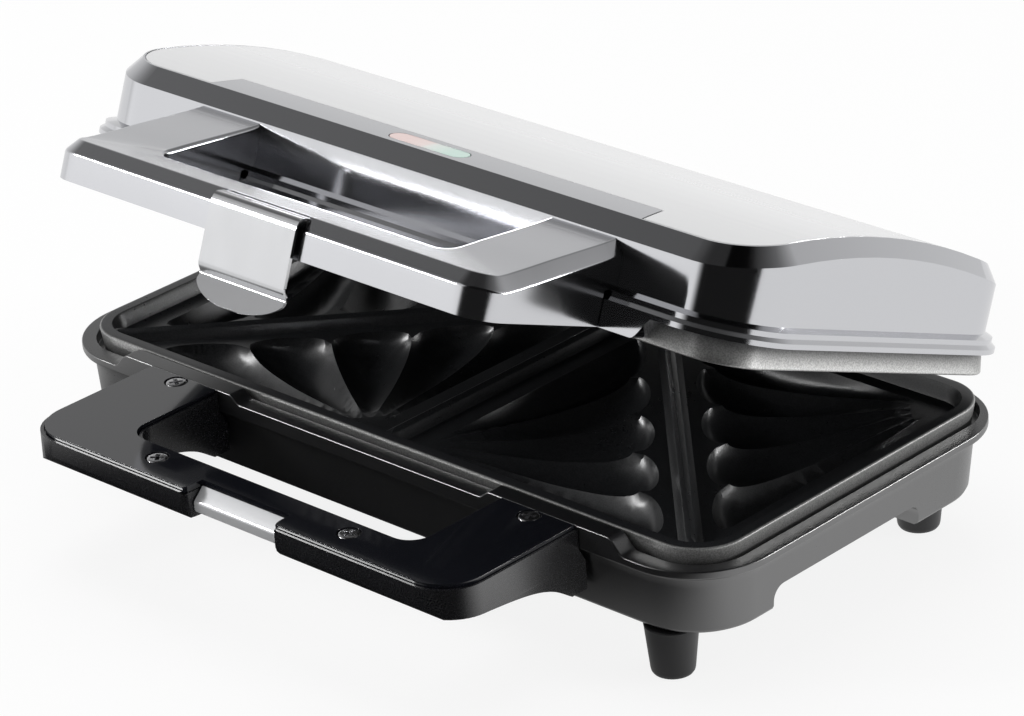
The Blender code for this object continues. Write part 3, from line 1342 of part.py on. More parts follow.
middle_y = (FRAME_FRONT + HINGE_Y + KNUCKLE_R) / 2
base_frame = new_frame("base_frame", None, 0, -middle_y, -FOOT_BOTTOM_Z)
lid_frame = new_frame("lid_hinge", base_frame, 0, HINGE_Y, HINGE_Z, -LID_OPEN)
latch_frame = new_frame("latch_pivot", lid_frame, 0, LATCH_Y - HINGE_Y, LATCH_Z - HINGE_Z)
carry(base, base_frame)
carry(lid, lid_frame, 0, HINGE_Y, HINGE_Z)
carry([latch_clip], latch_frame, 0, LATCH_Y, LATCH_Z)
bpy.context.view_layer.update()
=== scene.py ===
import math

import bmesh
import bpy
from mathutils import Matrix, Vector
from mathutils.geometry import delaunay_2d_cdt


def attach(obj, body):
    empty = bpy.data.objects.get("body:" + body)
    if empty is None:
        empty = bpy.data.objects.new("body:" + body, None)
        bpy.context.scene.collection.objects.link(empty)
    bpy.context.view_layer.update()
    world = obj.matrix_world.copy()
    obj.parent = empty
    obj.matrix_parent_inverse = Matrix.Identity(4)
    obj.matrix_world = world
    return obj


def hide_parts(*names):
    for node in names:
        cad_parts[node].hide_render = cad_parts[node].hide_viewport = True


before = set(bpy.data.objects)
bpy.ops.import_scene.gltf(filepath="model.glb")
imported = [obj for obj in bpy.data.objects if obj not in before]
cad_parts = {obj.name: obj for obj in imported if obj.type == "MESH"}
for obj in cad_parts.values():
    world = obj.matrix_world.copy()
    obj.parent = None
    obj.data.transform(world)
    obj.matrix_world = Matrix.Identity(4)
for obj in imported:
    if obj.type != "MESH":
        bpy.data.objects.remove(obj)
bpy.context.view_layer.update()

# Sizes are in millimetres from here on, and mm turns them into metres
mm = 0.001
overrun = 4  # how far a cutter passes the wall that it cuts
tiny = 0.0001
weld = 0.000004  # metres

# Where things stand: the datum is the top of the lower plate's rim, at the plate's middle
place = {"shift": (0, 20, 40), "lidOpen": 21.8, "plateGap": 0.7}
hinge = {"y": 71.5, "z": -2.1, "knuckle": 5.5, "bore": 2.3, "boreReach": 20, "stationX": 70, "ear": 5, "lug": 13,
         "gap": 0.3, "earTop": (1.2, 1.1), "earArc": (135, -75), "lugArc": (45, -170), "edge": 0.4}
toBase = Matrix.Translation([value * mm for value in place["shift"]])
hingeAt = Matrix.Translation((0, hinge["y"] * mm, hinge["z"] * mm))
toLid = toBase @ hingeAt @ Matrix.Rotation(-math.radians(place["lidOpen"]), 4, "X") @ hingeAt.inverted()
turnOver = Matrix.Translation((0, 0, place["plateGap"] * mm)) @ Matrix.Rotation(math.pi, 4, "Y")


# A socket that takes part in plain arithmetic, in shader and geometry trees alike
class Wire:
    def __init__(self, tree, socket):
        self.tree = tree
        self.socket = socket

    def through(self, operation, *others, swap=False):
        node = self.tree.nodes.new("ShaderNodeMath")
        node.operation = operation
        values = [*others, self] if swap else [self, *others]
        for socket, value in zip(node.inputs, values):
            plug(self.tree, socket, value)
        return Wire(self.tree, node.outputs[0])

    def __add__(self, other): return self.through("ADD", other)
    def __radd__(self, other): return self.through("ADD", other)
    def __sub__(self, other): return self.through("SUBTRACT", other)
    def __rsub__(self, other): return self.through("SUBTRACT", other, swap=True)
    def __mul__(self, other): return self.through("MULTIPLY", other)
    def __rmul__(self, other): return self.through("MULTIPLY", other)
    def __truediv__(self, other): return self.through("DIVIDE", other)
    def __rtruediv__(self, other): return self.through("DIVIDE", other, swap=True)
    def __abs__(self): return self.through("ABSOLUTE")
    def __neg__(self): return self.through("MULTIPLY", -1.0)
    def __gt__(self, other): return self.through("GREATER_THAN", other)
    def __lt__(self, other): return self.through("LESS_THAN", other)
    def least(self, other): return self.through("MINIMUM", other)
    def most(self, other): return self.through("MAXIMUM", other)
    def root(self): return self.through("SQRT")
    def clamped(self): return self.through("MAXIMUM", 0.0).through("MINIMUM", 1.0)

    def eased(self):
        share = self.clamped()
        return share * share * (3 - 2 * share)


def plug(tree, socket, value):
    if isinstance(value, Wire):
        tree.links.new(value.socket, socket)
    else:
        socket.default_value = value


# A tree of nodes: node() makes any node, sets it, fills its sockets and gives one output
class Bench:
    def __init__(self, tree):
        self.tree = tree

    def node(self, kind, settings=None, values=None, out=0):
        node = self.tree.nodes.new(kind)
        for name, value in (settings or {}).items():
            if name == "stops":
                ramp = node.color_ramp
                while len(ramp.elements) < len(value):
                    ramp.elements.new(0.5)
                for element, (position, colour) in zip(ramp.elements, value):
                    element.position = position
                    element.color = (*colour, 1)
            else:
                setattr(node, name, value)
        for key, value in (values or {}).items():
            plug(self.tree, node.inputs[key], value)
        return Wire(self.tree, node.outputs[out])

    def split(self, vector):
        node = self.node("ShaderNodeSeparateXYZ", values={0: vector})
        return [Wire(self.tree, socket) for socket in node.socket.node.outputs]

    def blend(self, share, first, second):
        return self.node("ShaderNodeMix", {"data_type": "RGBA"}, {0: share, 6: first, 7: second}, out=2)


# Finishes: how many noise cells each pattern has in a metre, and how deep its dents go in metres
pattern = {"pores": 2600.0, "cloud": 24.0, "plating": 900.0, "platingCloud": 18.0, "streaks": 300.0, "streakCloud": 9.0,
           "specks": 2400.0, "castPores": 700.0, "castCloud": 30.0, "tint": 60.0, "shallow": 0.00002, "deep": 0.00006}


def finish(name, shader, build):
    material = bpy.data.materials.new(name)
    material.use_nodes = True
    body = material.node_tree.nodes["Principled BSDF"]
    for socket, value in {**shader, **build(Bench(material.node_tree))}.items():
        plug(material.node_tree, body.inputs[socket], value)
    return material


def grain(bench, scale, detail=2.0, stretch=None):
    spot = bench.node("ShaderNodeTexCoord", out="Object")
    if stretch:
        spot = bench.node("ShaderNodeMapping", values={"Vector": spot, "Scale": stretch})
    return bench.node("ShaderNodeTexNoise", values={"Vector": spot, "Scale": scale, "Detail": detail})


def dent(bench, height, strength, distance):
    return bench.node("ShaderNodeBump", values={"Strength": strength, "Distance": distance, "Height": height})


def colourOf(value):
    return (*value, 1)


# Moulded plastic, rubber and lamp caps: two close tones, fine pores and a slow change of gloss
def moulded(dark, light, rough, spread, bump):
    def build(bench):
        pores, cloud = grain(bench, pattern["pores"], 3.0), grain(bench, pattern["cloud"], 3.0)
        return {
            "Base Color": bench.blend(cloud, colourOf(dark), colourOf(light)),
            "Roughness": rough + spread * (pores - 0.5) + 0.5 * spread * (cloud - 0.5),
            "Normal": dent(bench, pores, bump, pattern["shallow"]),
        }
    return build


def plated(tint, rough, spread, dimming=0.97):
    def build(bench):
        cloud, fine = grain(bench, pattern["platingCloud"], 4.0), grain(bench, pattern["plating"])
        dim = tuple(value * dimming for value in tint)
        return {
            "Base Color": bench.blend(cloud, colourOf(dim), colourOf(tint)),
            "Roughness": rough + spread * (cloud - 0.5) + 0.4 * spread * (fine - 0.5),
        }
    return build


def brushed(tint, rough, spread, bump, stretch, dimming=0.95):
    def build(bench):
        streak, cloud = grain(bench, pattern["streaks"], 4.0, stretch), grain(bench, pattern["streakCloud"])
        dim = tuple(value * dimming for value in tint)
        return {
            "Base Color": bench.blend((0.7 * streak + 0.3 * cloud).clamped(), colourOf(dim), colourOf(tint)),
            "Roughness": rough + spread * (streak - 0.5),
            "Normal": dent(bench, streak, bump, pattern["shallow"]),
        }
    return build


# Non-stick coating on a casting, worn to grey metal along the rim, where the plate's own rimShare says so
coating = {"fieldDark": (0.010, 0.0105, 0.012), "fieldLight": (0.026, 0.027, 0.029), "fieldMetal": 0.12,
           "rimDark": (0.38, 0.38, 0.375), "rimLight": (0.58, 0.58, 0.57), "rimMetal": 0.85, "wear": 0.75, "contrast": 5,
           "rough": 0.3, "rimRough": 0.1, "poreRough": 0.1, "cloudRough": 0.06, "bump": 0.1, "speckShare": 0.6}


def castCoating(look):
    def build(bench):
        speck, pore = grain(bench, pattern["specks"], 4.0), grain(bench, pattern["castPores"])
        cloud = grain(bench, pattern["castCloud"], 3.0)
        worn = bench.node("ShaderNodeAttribute", {"attribute_name": "rimShare"}, out="Fac")
        share = look["wear"] * worn
        dots = ((speck - 0.5) * look["contrast"] + 0.5).clamped()
        inner = bench.blend(dots, colourOf(look["fieldDark"]), colourOf(look["fieldLight"]))
        outer = bench.blend(dots, colourOf(look["rimDark"]), colourOf(look["rimLight"]))
        mottle = look["poreRough"] * (pore - 0.5) + look["cloudRough"] * (cloud - 0.5)
        height = look["speckShare"] * speck + (1 - look["speckShare"]) * pore
        return {
            "Base Color": bench.blend(share, inner, outer),
            "Metallic": look["fieldMetal"] + (look["rimMetal"] - look["fieldMetal"]) * share,
            "Roughness": look["rough"] + mottle + look["rimRough"] * share,
            "Normal": dent(bench, height, look["bump"], pattern["deep"]),
        }
    return build


# The indicator window: reddish at one end, greenish at the other
windowTint = {"run": 16, "rough": 0.12, "spread": 0.05,
              "stops": ((0.0, (0.80, 0.60, 0.57)), (0.42, (0.80, 0.66, 0.63)),
                        (0.55, (0.72, 0.76, 0.72)), (1.0, (0.55, 0.74, 0.66)))}


def tinted(bench):
    x = bench.split(bench.node("ShaderNodeTexCoord", out="Object"))[0]
    share = (x / mm / windowTint["run"] + 0.5).clamped()
    tint = bench.node("ShaderNodeValToRGB", {"stops": windowTint["stops"]}, {0: share})
    return {"Base Color": tint, "Roughness": windowTint["rough"] + windowTint["spread"] * grain(bench, pattern["tint"])}


chrome, metal = (0.68, 0.685, 0.71), {"Metallic": 1.0}
alongX, alongZ = (0.05, 1.0, 1.0), (1.0, 1.0, 0.05)
finishes = {
    "housing": finish("satinBlack", {"Specular IOR Level": 1.0, "IOR": 1.9},
                      moulded((0.005, 0.005, 0.006), (0.008, 0.008, 0.009), 0.29, 0.07, 0.03)),
    "frame": finish("frameBlack", {"Specular IOR Level": 1.0, "IOR": 1.8},
                    moulded((0.005, 0.005, 0.0065), (0.008, 0.008, 0.010), 0.27, 0.07, 0.02)),
    "cover": finish("coverGloss", {"Specular IOR Level": 1.0, "IOR": 1.6, "Coat Weight": 0.5},
                    moulded((0.006, 0.0065, 0.009), (0.008, 0.0085, 0.012), 0.07, 0.03, 0.0)),
    "foot": finish("footBlack", {"Specular IOR Level": 0.5},
                   moulded((0.013, 0.013, 0.014), (0.02, 0.02, 0.021), 0.45, 0.1, 0.15)),
    "lowerPlate": finish("castNonStick", {"Specular IOR Level": 0.85}, castCoating(coating)),
    "upperPlate": finish("castNonStickWorn", {"Specular IOR Level": 0.85}, castCoating({**coating, "wear": 1.0})),
    "lidChrome": finish("lidChrome", metal, plated(chrome, 0.085, 0.04)),
    "handleChrome": finish("handleChrome", metal, plated(chrome, 0.15, 0.04)),
    "latchChrome": finish("latchChrome", metal, brushed((0.70, 0.705, 0.72), 0.16, 0.05, 0.05, alongZ)),
    "panel": finish("brushedPanel", {"Metallic": 0.6}, brushed((0.95, 0.952, 0.96), 0.24, 0.08, 0.08, (0.03, 1.0, 1.0))),
    "steel": finish("brightSteel", metal, brushed((0.62, 0.62, 0.63), 0.22, 0.08, 0.1, alongX)),
    "catch": finish("catchSteel", {"Metallic": 0.5}, brushed((0.7, 0.705, 0.72), 0.2, 0.06, 0.06, alongX)),
    "sheath": finish("elementSheath", metal, plated((0.3, 0.29, 0.28), 0.45, 0.15)),
    "reflector": finish("reflectorSheet", metal, brushed((0.8, 0.8, 0.8), 0.25, 0.08, 0.05, alongX)),
    "white": finish("whiteMoulding", {}, moulded((0.74, 0.74, 0.70), (0.8, 0.8, 0.76), 0.5, 0.1, 0.1)),
    "sleeve": finish("wovenSleeve", {}, moulded((0.7, 0.69, 0.64), (0.84, 0.83, 0.78), 0.8, 0.1, 0.6)),
    "window": finish("clearWindow", {"Specular IOR Level": 0.5, "Coat Weight": 0.5}, tinted),
    "redLamp": finish("redLampFinish", {"Specular IOR Level": 0.5},
                      moulded((0.7, 0.3, 0.27), (0.8, 0.4, 0.36), 0.25, 0.05, 0.0)),
    "greenLamp": finish("greenLampFinish", {"Specular IOR Level": 0.5},
                        moulded((0.36, 0.62, 0.48), (0.46, 0.72, 0.58), 0.25, 0.05, 0.0)),
}
print("finishes made")


# Shapes
def linked(name, data):
    body = bpy.data.objects.new(name, data)
    bpy.context.scene.collection.objects.link(body)
    return body


def shapeObject(name, shape):
    bmesh.ops.remove_doubles(shape, verts=shape.verts, dist=weld)
    bmesh.ops.recalc_face_normals(shape, faces=shape.faces)
    mesh = bpy.data.meshes.new(name)
    shape.to_mesh(mesh)
    shape.free()
    return linked(name, mesh)


def applied(body):
    graph = bpy.context.evaluated_depsgraph_get()
    mesh = bpy.data.meshes.new_from_object(body.evaluated_get(graph))
    body.modifiers.clear()
    body.data = mesh
    return body


def boolean(body, tool, operation, solver="MANIFOLD"):
    step = body.modifiers.new("Join", "BOOLEAN")
    step.operation = operation
    step.object = tool
    step.solver = solver
    applied(body)
    bpy.data.objects.remove(tool)


def cut(body, tool, solver="MANIFOLD"):
    boolean(body, tool, "DIFFERENCE", solver)


def eased(body, width, segments=3, angle=40):
    step = body.modifiers.new("Edge", "BEVEL")
    step.width = width * mm
    step.segments = segments
    step.limit_method = "ANGLE"
    step.angle_limit = math.radians(angle)
    step.use_clamp_overlap = True
    step.miter_outer = "MITER_ARC"
    return applied(body)


# Dresses a shape, puts its place into its mesh and hands it to its body
def finished(body, name, finishName, matrix, bodyName, *nodes, angle=32):
    mesh = body.data
    mesh.name = name
    mesh.transform(matrix)
    body.name = name
    mesh.materials.clear()
    mesh.materials.append(finishes[finishName])
    mesh.shade_smooth()
    mesh.set_sharp_from_angle(angle=math.radians(angle))
    step = body.modifiers.new("Shade", "WEIGHTED_NORMAL")
    step.keep_sharp = True
    applied(body)
    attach(body, bodyName)
    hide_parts(*nodes)


def arc(centre, radius, start, end, count):
    turns = [math.radians(start + (end - start) * i / count) for i in range(count + 1)]
    return [(centre[0] + radius * math.cos(t), centre[1] + radius * math.sin(t)) for t in turns]


def easeStep(share):
    share = min(max(share, 0), 1)
    return share * share * (3 - 2 * share)


# A smooth curve through knots of (share, value), with the slope of its neighbours at each knot
def through(knots, share):
    k = next(n for n in range(1, len(knots)) if share <= knots[n][0] + 10 * tiny)
    before, a, b, after = knots[max(k - 2, 0)], knots[k - 1], knots[k], knots[min(k + 1, len(knots) - 1)]
    run = b[0] - a[0]
    t = (share - a[0]) / run
    slopeA, slopeB = (b[1] - before[1]) / (b[0] - before[0]), (after[1] - a[1]) / (after[0] - a[0])
    value = (2 * t**3 - 3 * t**2 + 1) * a[1] + (t**3 - 2 * t**2 + t) * run * slopeA
    return value + (3 * t**2 - 2 * t**3) * b[1] + (t**3 - t**2) * run * slopeB


# How finely curves are cut, and where along the front the lips change height
steps = {"corner": 18, "side": 10, "lip": 8, "round": 40, "knuckle": 24, "recess": 10, "grip": 12, "arm": 28,
         "window": 20, "arch": 60, "tab": 40}
frontX, lipRuns = (0, 15, 30), ((46, 50), (92, 98))


def frontStations():
    places = list(frontX)
    for low, high in lipRuns:
        places += [low + (high - low) * i / steps["lip"] for i in range(steps["lip"] + 1)]
    return places


def halfOutline(halfX, front, back, radius, stations=()):
    points = [(x, front) for x in stations]
    points += arc((halfX - radius, front + radius), radius, -90, 0, steps["corner"])
    low, high = front + radius, back - radius
    points += [(halfX, low + (high - low) * i / steps["side"]) for i in range(1, steps["side"])]
    return points + arc((halfX - radius, back - radius), radius, 0, 90, steps["corner"])


def mirrored(half):
    return half + [(-x, y) for x, y in reversed(half) if x > tiny]


def ringOf(halfX, front, back, radius, height, stations):
    rise = height if callable(height) else (lambda x, y: height)
    return [(x * mm, y * mm, rise(x, y) * mm) for x, y in mirrored(halfOutline(halfX, front, back, radius, stations))]


# A closed skin through rings of equal count; its ends are single faces, or rungs from side to side
def loft(name, rings, rungs=False):
    count = len(rings[0])
    shape = bmesh.new()
    rows = [[shape.verts.new(point) for point in ring] for ring in rings]
    for low, high in zip(rows, rows[1:]):
        for i in range(count):
            j = (i + 1) % count
            shape.faces.new((low[i], low[j], high[j], high[i]))
    for row, ring in ((rows[0], rings[0]), (rows[-1], rings[-1])):
        for face in ladder(ring) if rungs else [range(count)]:
            shape.faces.new([row[i] for i in face])
    return shapeObject(name, shape)


def ladder(ring):
    count = len(ring)
    run = 0
    while abs(ring[run + 1][1] - ring[0][1]) < weld / 4:
        run += 1
    faces = [[i % count for i in range(-run, run + 1)]]
    low, high = run, count - run
    while high - low > 1:
        faces.append([low, low + 1, high % count] if high - low == 2 else [low, low + 1, high - 1, high % count])
        low, high = low + 1, high - 1
    return faces


def extruded(name, outline, low, high, holes=()):
    curve = bpy.data.curves.new(name, "CURVE")
    curve.dimensions = "2D"
    curve.fill_mode = "BOTH"
    curve.extrude = (high - low) / 2 * mm
    for points in (outline, *holes):
        line = curve.splines.new("POLY")
        line.points.add(len(points) - 1)
        for point, (x, y) in zip(line.points, points):
            point.co = (x * mm, y * mm, 0, 1)
        line.use_cyclic_u = True
    flat = linked(name, curve)
    bpy.context.view_layer.update()
    mesh = bpy.data.meshes.new_from_object(flat.evaluated_get(bpy.context.evaluated_depsgraph_get()))
    bpy.data.objects.remove(flat)
    shape = bmesh.new()
    shape.from_mesh(mesh)
    bmesh.ops.translate(shape, verts=shape.verts, vec=(0, 0, (low + high) / 2 * mm))
    return shapeObject(name, shape)


# As extruded(), for an outline of (y, z) drawn out along x
def sideProfile(name, outline, low, high):
    body = extruded(name, outline, low, high)
    body.data.transform(Matrix(((0, 0, 1, 0), (1, 0, 0, 0), (0, 1, 0, 0), (0, 0, 0, 1))))
    return body


def turnedShape(name, profile, axis="Z", at=(0, 0, 0)):
    count = steps["round"]
    turns = [2 * math.pi * i / count for i in range(count)]
    shape = bmesh.new()
    rows = []
    for radius, height in profile:
        spots = turns if radius else turns[:1]
        ring = [(radius * mm * math.cos(t), radius * mm * math.sin(t), height * mm) for t in spots]
        rows.append([shape.verts.new(point) for point in ring])
    for low, high in zip(rows, rows[1:]):
        for i in range(count):
            j = (i + 1) % count
            corners = [low[i % len(low)], low[j % len(low)], high[j % len(high)], high[i % len(high)]]
            shape.faces.new(list(dict.fromkeys(corners)))
    body = shapeObject(name, shape)
    if axis == "X":
        body.data.transform(Matrix.Rotation(math.radians(90), 4, "Y"))
    if axis == "Y":
        body.data.transform(Matrix.Rotation(math.radians(-90), 4, "X"))
    body.data.transform(Matrix.Translation([value * mm for value in at]))
    return body


def rod(radius, low, high, axis="Z", at=(0, 0, 0)):
    return turnedShape("rod", [(0, low), (radius, low), (radius, high), (0, high)], axis, at)


def boxShape(name, low, high):
    shape = bmesh.new()
    bmesh.ops.create_cube(shape, size=1)
    bmesh.ops.scale(shape, verts=shape.verts, vec=[(b - a) * mm for a, b in zip(low, high)])
    bmesh.ops.translate(shape, verts=shape.verts, vec=[(a + b) / 2 * mm for a, b in zip(low, high)])
    return shapeObject(name, shape)


# Geometry trees
def growTree(name, sizes, build):
    tree = bpy.data.node_groups.new(name, "GeometryNodeTree")
    face = tree.interface
    face.new_socket("Geometry", in_out="INPUT", socket_type="NodeSocketGeometry")
    for label, value in sizes.items():
        if isinstance(value, bpy.types.Object):
            face.new_socket(label, in_out="INPUT", socket_type="NodeSocketObject")
        else:
            face.new_socket(label, in_out="INPUT", socket_type="NodeSocketFloat").default_value = value
    face.new_socket("Finish", in_out="INPUT", socket_type="NodeSocketMaterial")
    face.new_socket("Geometry", in_out="OUTPUT", socket_type="NodeSocketGeometry")
    bench = Bench(tree)
    start = tree.nodes.new("NodeGroupInput")
    wires = {socket.name: Wire(tree, socket) for socket in start.outputs if socket.name}
    solid = bench.node("GeometryNodeRealizeInstances", values={0: build(bench, wires)})
    dressed = bench.node("GeometryNodeSetMaterial", values={"Geometry": solid, "Material": wires["Finish"]})
    end = tree.nodes.new("NodeGroupOutput")
    tree.links.new(dressed.socket, end.inputs[0])
    return tree


def grown(body, tree, sizes, finishName):
    step = body.modifiers.new("Grow", "NODES")
    step.node_group = tree
    given = {**sizes, "Finish": finishes[finishName]}
    for socket in tree.interface.items_tree:
        if socket.in_out == "INPUT" and socket.name in given:
            step[socket.identifier] = given[socket.name]
    return applied(body)


# Cooking plates: a flat closed slab with points along every feature, raised and sunk by a rule
plate = {"halfX": 120, "halfY": 61.2, "round": 14.5, "draft": 0.8, "depth": 7, "wallEase": 0.35, "rimBlend": 0.15,
         "ridgeX": 108, "ridgeFront": -53, "ridgeBack": 59.5, "ridgeGap": 6.5, "wornFrom": 0.1, "wornRun": 0.6,
         "innerX": 10, "frontY": -53, "outerX": 108, "backY": 51.5, "lobes": 5,
         "postY": 44.5, "postR": 4, "postTop": -6, "postFoot": -22.7, "boreR": 1.7, "boreTop": -11.7}
plateRule = {"Half X": plate["halfX"], "Half Y": plate["halfY"], "Corner": plate["round"], "Edge": 0.7, "Rim": 3.6,
             "Wall run": 1.6, "Field": 4.5, "Ridge top": 1.0, "Ridge half": 0.8, "Ridge run": 2.3, "Pocket": 8.0,
             "Pocket edge": 0.4, "Lobes": 5.0, "Lobe end": 6.5, "Cusp": 0.55, "Full share": 0.72, "End share": 0.8,
             "Blend": 0.9, "Boss wall": 2.3, "Boss run": 3.0, "Skirt": 7.0}
# Where the slab has its points: rings in from the edge, rows beside the ridges, rays in the pockets, then a grid
slab = {"insets": (0, 0.12, 0.35, 0.7, 2, 3.3, 3.6, 3.8, 4.2, 4.8, 5.2, 5.7), "cornerSteps": 14, "spacing": 2.6,
        "ridgeStep": 2.2,
        "ridgeOffsets": (-4.4, -3.9, -3.3, -2.5, -1.75, -1.5, -1.25, 0, 1.25, 1.5, 1.75, 2.5, 3.3, 3.9, 4.4),
        "lobeSteps": 16, "coreShare": 0.25, "coreEvery": 4, "fineFrom": 0.05, "fineStep": 0.018, "fineCount": 50,
        "shares": (0.06, 0.13, 0.2, 0.28, 0.36, 0.44, 0.52, 0.6, 0.68, 0.74),
        "endShares": (0.8, 0.85, 0.89, 0.925, 0.955, 0.978, 0.992, 1.0), "margin": 6.5, "clearance": 1.5, "merge": 0.02}


def pocketDistance(cornerX, cornerY):
    runX, runY = plate["ridgeX"], plate["ridgeBack"] - plate["ridgeFront"]
    fromRidge = (plate["ridgeX"] - abs(cornerX)) * runY + (plate["ridgeFront"] - cornerY) * runX
    return abs(fromRidge) / math.hypot(runX, runY) - plate["ridgeGap"], math.atan2(runX, runY)


def outlinePoints(inset):
    low, radius, corners = [], plate["round"] - inset, []
    for x, y, start in ((-1, -1, 180), (1, -1, 270), (1, 1, 0), (-1, 1, 90)):
        centre = (x * (plate["halfX"] - plate["round"]), y * (plate["halfY"] - plate["round"]))
        corners += arc(centre, radius, start, start + 90, slab["cornerSteps"])
    for a, b in zip(corners, corners[1:] + corners[:1]):
        count = max(1, round(math.hypot(b[0] - a[0], b[1] - a[1]) / slab["spacing"]))
        low += [(a[0] + (b[0] - a[0]) * i / count, a[1] + (b[1] - a[1]) * i / count) for i in range(count)]
    return low


def ridgePoints():
    points = []
    for startX in (plate["ridgeX"], 0, -plate["ridgeX"]):
        start, end = Vector((startX, plate["ridgeFront"])), Vector((0, plate["ridgeBack"]))
        along = (end - start).normalized()
        count = int((end - start).length / slab["ridgeStep"])
        for off in slab["ridgeOffsets"]:
            for i in range(count + 1):
                spot = start + (end - start) * i / count + Vector((-along.y, along.x)) * off
                points.append((spot.x, spot.y))
    return points


# The rays of one pocket: its inner points, its rim and the lines along its cusps
def pocketRays(corner, signs):
    lobeSteps, total = slab["lobeSteps"], plate["lobes"] * slab["lobeSteps"]
    shares = slab["shares"] + slab["endShares"]
    fine = {slab["fineFrom"] + slab["fineStep"] * i for i in range(slab["fineCount"])}
    fineShares = sorted(fine | set(slab["endShares"]))
    distance, normal = pocketDistance(*corner)
    points, rim, cusps = [], [], {}
    for i in range(total + 1):
        angle = math.atan2(i / total / math.sin(normal), (1 - i / total) / math.cos(normal))
        across = 2 * (i % lobeSteps) / lobeSteps - 1
        bow = 1 - math.sqrt(max(1 - across * across, 0))
        reach = distance / math.cos(angle - normal) - plateRule["Lobe end"] * bow
        nearLeg = min(i, total - i) < lobeSteps / 2
        for share in fineShares if nearLeg else shares:
            if share < slab["coreShare"] and i % slab["coreEvery"] and lobeSteps < i < total - lobeSteps:
                continue
            ways = zip(corner, signs, (math.cos, math.sin))
            spot = [at + sign * share * reach * turn(angle) for at, sign, turn in ways]
            (rim if share == 1.0 else points).append(spot)
            if i % lobeSteps == 0:
                cusps.setdefault(i, []).append(spot)
    return points, rim, cusps


def plateSlab(name):
    points, links = [], []

    def chain(line, closed=False):
        start = len(points)
        points.extend(line)
        links.extend((start + i, start + i + 1) for i in range(len(line) - 1))
        if closed:
            links.append((len(points) - 1, start))

    for inset in slab["insets"]:
        chain(outlinePoints(inset), True)
    points += ridgePoints()
    corners = ((plate["innerX"], plate["frontY"]), (1, 1)), ((plate["outerX"], plate["backY"]), (-1, -1))
    for side in (1, -1):
        for corner, signs in corners:
            inner, rim, cusps = pocketRays(corner, signs)
            points += [(side * x, y) for x, y in inner]
            chain([(side * x, y) for x, y in rim])
            for line in cusps.values():
                chain([(side * x, y) for x, y in [corner] + line[:-1]])
    near, step, margin = slab["clearance"], slab["spacing"], slab["margin"]
    taken = {(round(x / near), round(y / near)) for x, y in points}
    for row in range(int(2 * plate["halfY"] / step)):
        for column in range(int(2 * plate["halfX"] / step)):
            x = -plate["halfX"] + margin + step * (column + 0.5 * (row % 2))
            y = -plate["halfY"] + margin + step * row
            cell = (round(x / near), round(y / near))
            free = all((cell[0] + i, cell[1] + j) not in taken for i in (-1, 0, 1) for j in (-1, 0, 1))
            if free and x < plate["halfX"] - margin and y < plate["halfY"] - margin:
                points.append((x, y))
    flat = delaunay_2d_cdt([Vector(point) for point in points], links, [], 0, slab["merge"])
    spots, faces = flat[0], flat[2]
    count = len(spots)
    shrinkX, shrinkY = ((plate[half] - plate["draft"]) / plate[half] for half in ("halfX", "halfY"))
    verts = [(x * mm, y * mm, 0) for x, y in spots]
    verts += [(x * shrinkX * mm, y * shrinkY * mm, -plate["depth"] * mm) for x, y in spots]
    polygons = [tuple(face) for face in faces] + [tuple(count + i for i in reversed(face)) for face in faces]
    used = dict.fromkeys(pair for face in faces for pair in zip(face, face[1:] + face[:1]))
    polygons += [(b, a, count + a, count + b) for a, b in used if (b, a) not in used]
    mesh = bpy.data.meshes.new(name)
    mesh.from_pydata(verts, [], polygons)
    under = mesh.attributes.new("under", "FLOAT", "POINT")
    under.data.foreach_set("value", [0.0] * count + [1.0] * count)
    return linked(name, mesh)


# How deep a pocket is at (u, v) from its corner, and how near the raised wall below it is
def pocketRule(bench, wires, u, v, distance, normal):
    angle = bench.node("ShaderNodeMath", {"operation": "ARCTAN2"}, {0: v, 1: u})
    radius = (u * u + v * v).root()
    alongU, alongV = distance / math.cos(normal), distance / math.sin(normal)
    lobe = wires["Lobes"] * (v * alongU) / (v.most(0.0) * alongU + u.most(0.0) * alongV).most(10 * tiny)
    across = abs(lobe.through("FRACT") * 2 - 1)
    bow = 1 - (1 - across * across).most(0.0).root()
    slant = bench.node("ShaderNodeMath", {"operation": "COSINE"}, {0: angle - normal})
    reach = distance / slant - wires["Lobe end"] * bow
    share = radius / reach
    past = ((share - wires["End share"]) / (1 - wires["End share"])).clamped()
    fill = (share / wires["Full share"]).eased() * (1 - past * past).root()
    outer = abs(lobe - wires["Lobes"] / 2) > wires["Lobes"] / 2 - 0.5
    cusp = outer * across * across * across + (1 - outer) * wires["Cusp"] * across * across
    depth = wires["Field"] - wires["Pocket edge"] + (wires["Pocket"] + wires["Pocket edge"]) * fill * (1 - cusp)
    inside = (u > -tiny) * (v > -tiny) * (share < 1 + tiny)
    toLong = distance - (u * math.cos(normal) + v * math.sin(normal))
    boss = (u.least(v).least(toLong) + wires["Boss wall"]) / wires["Boss run"]
    return depth * inside, boss.eased()


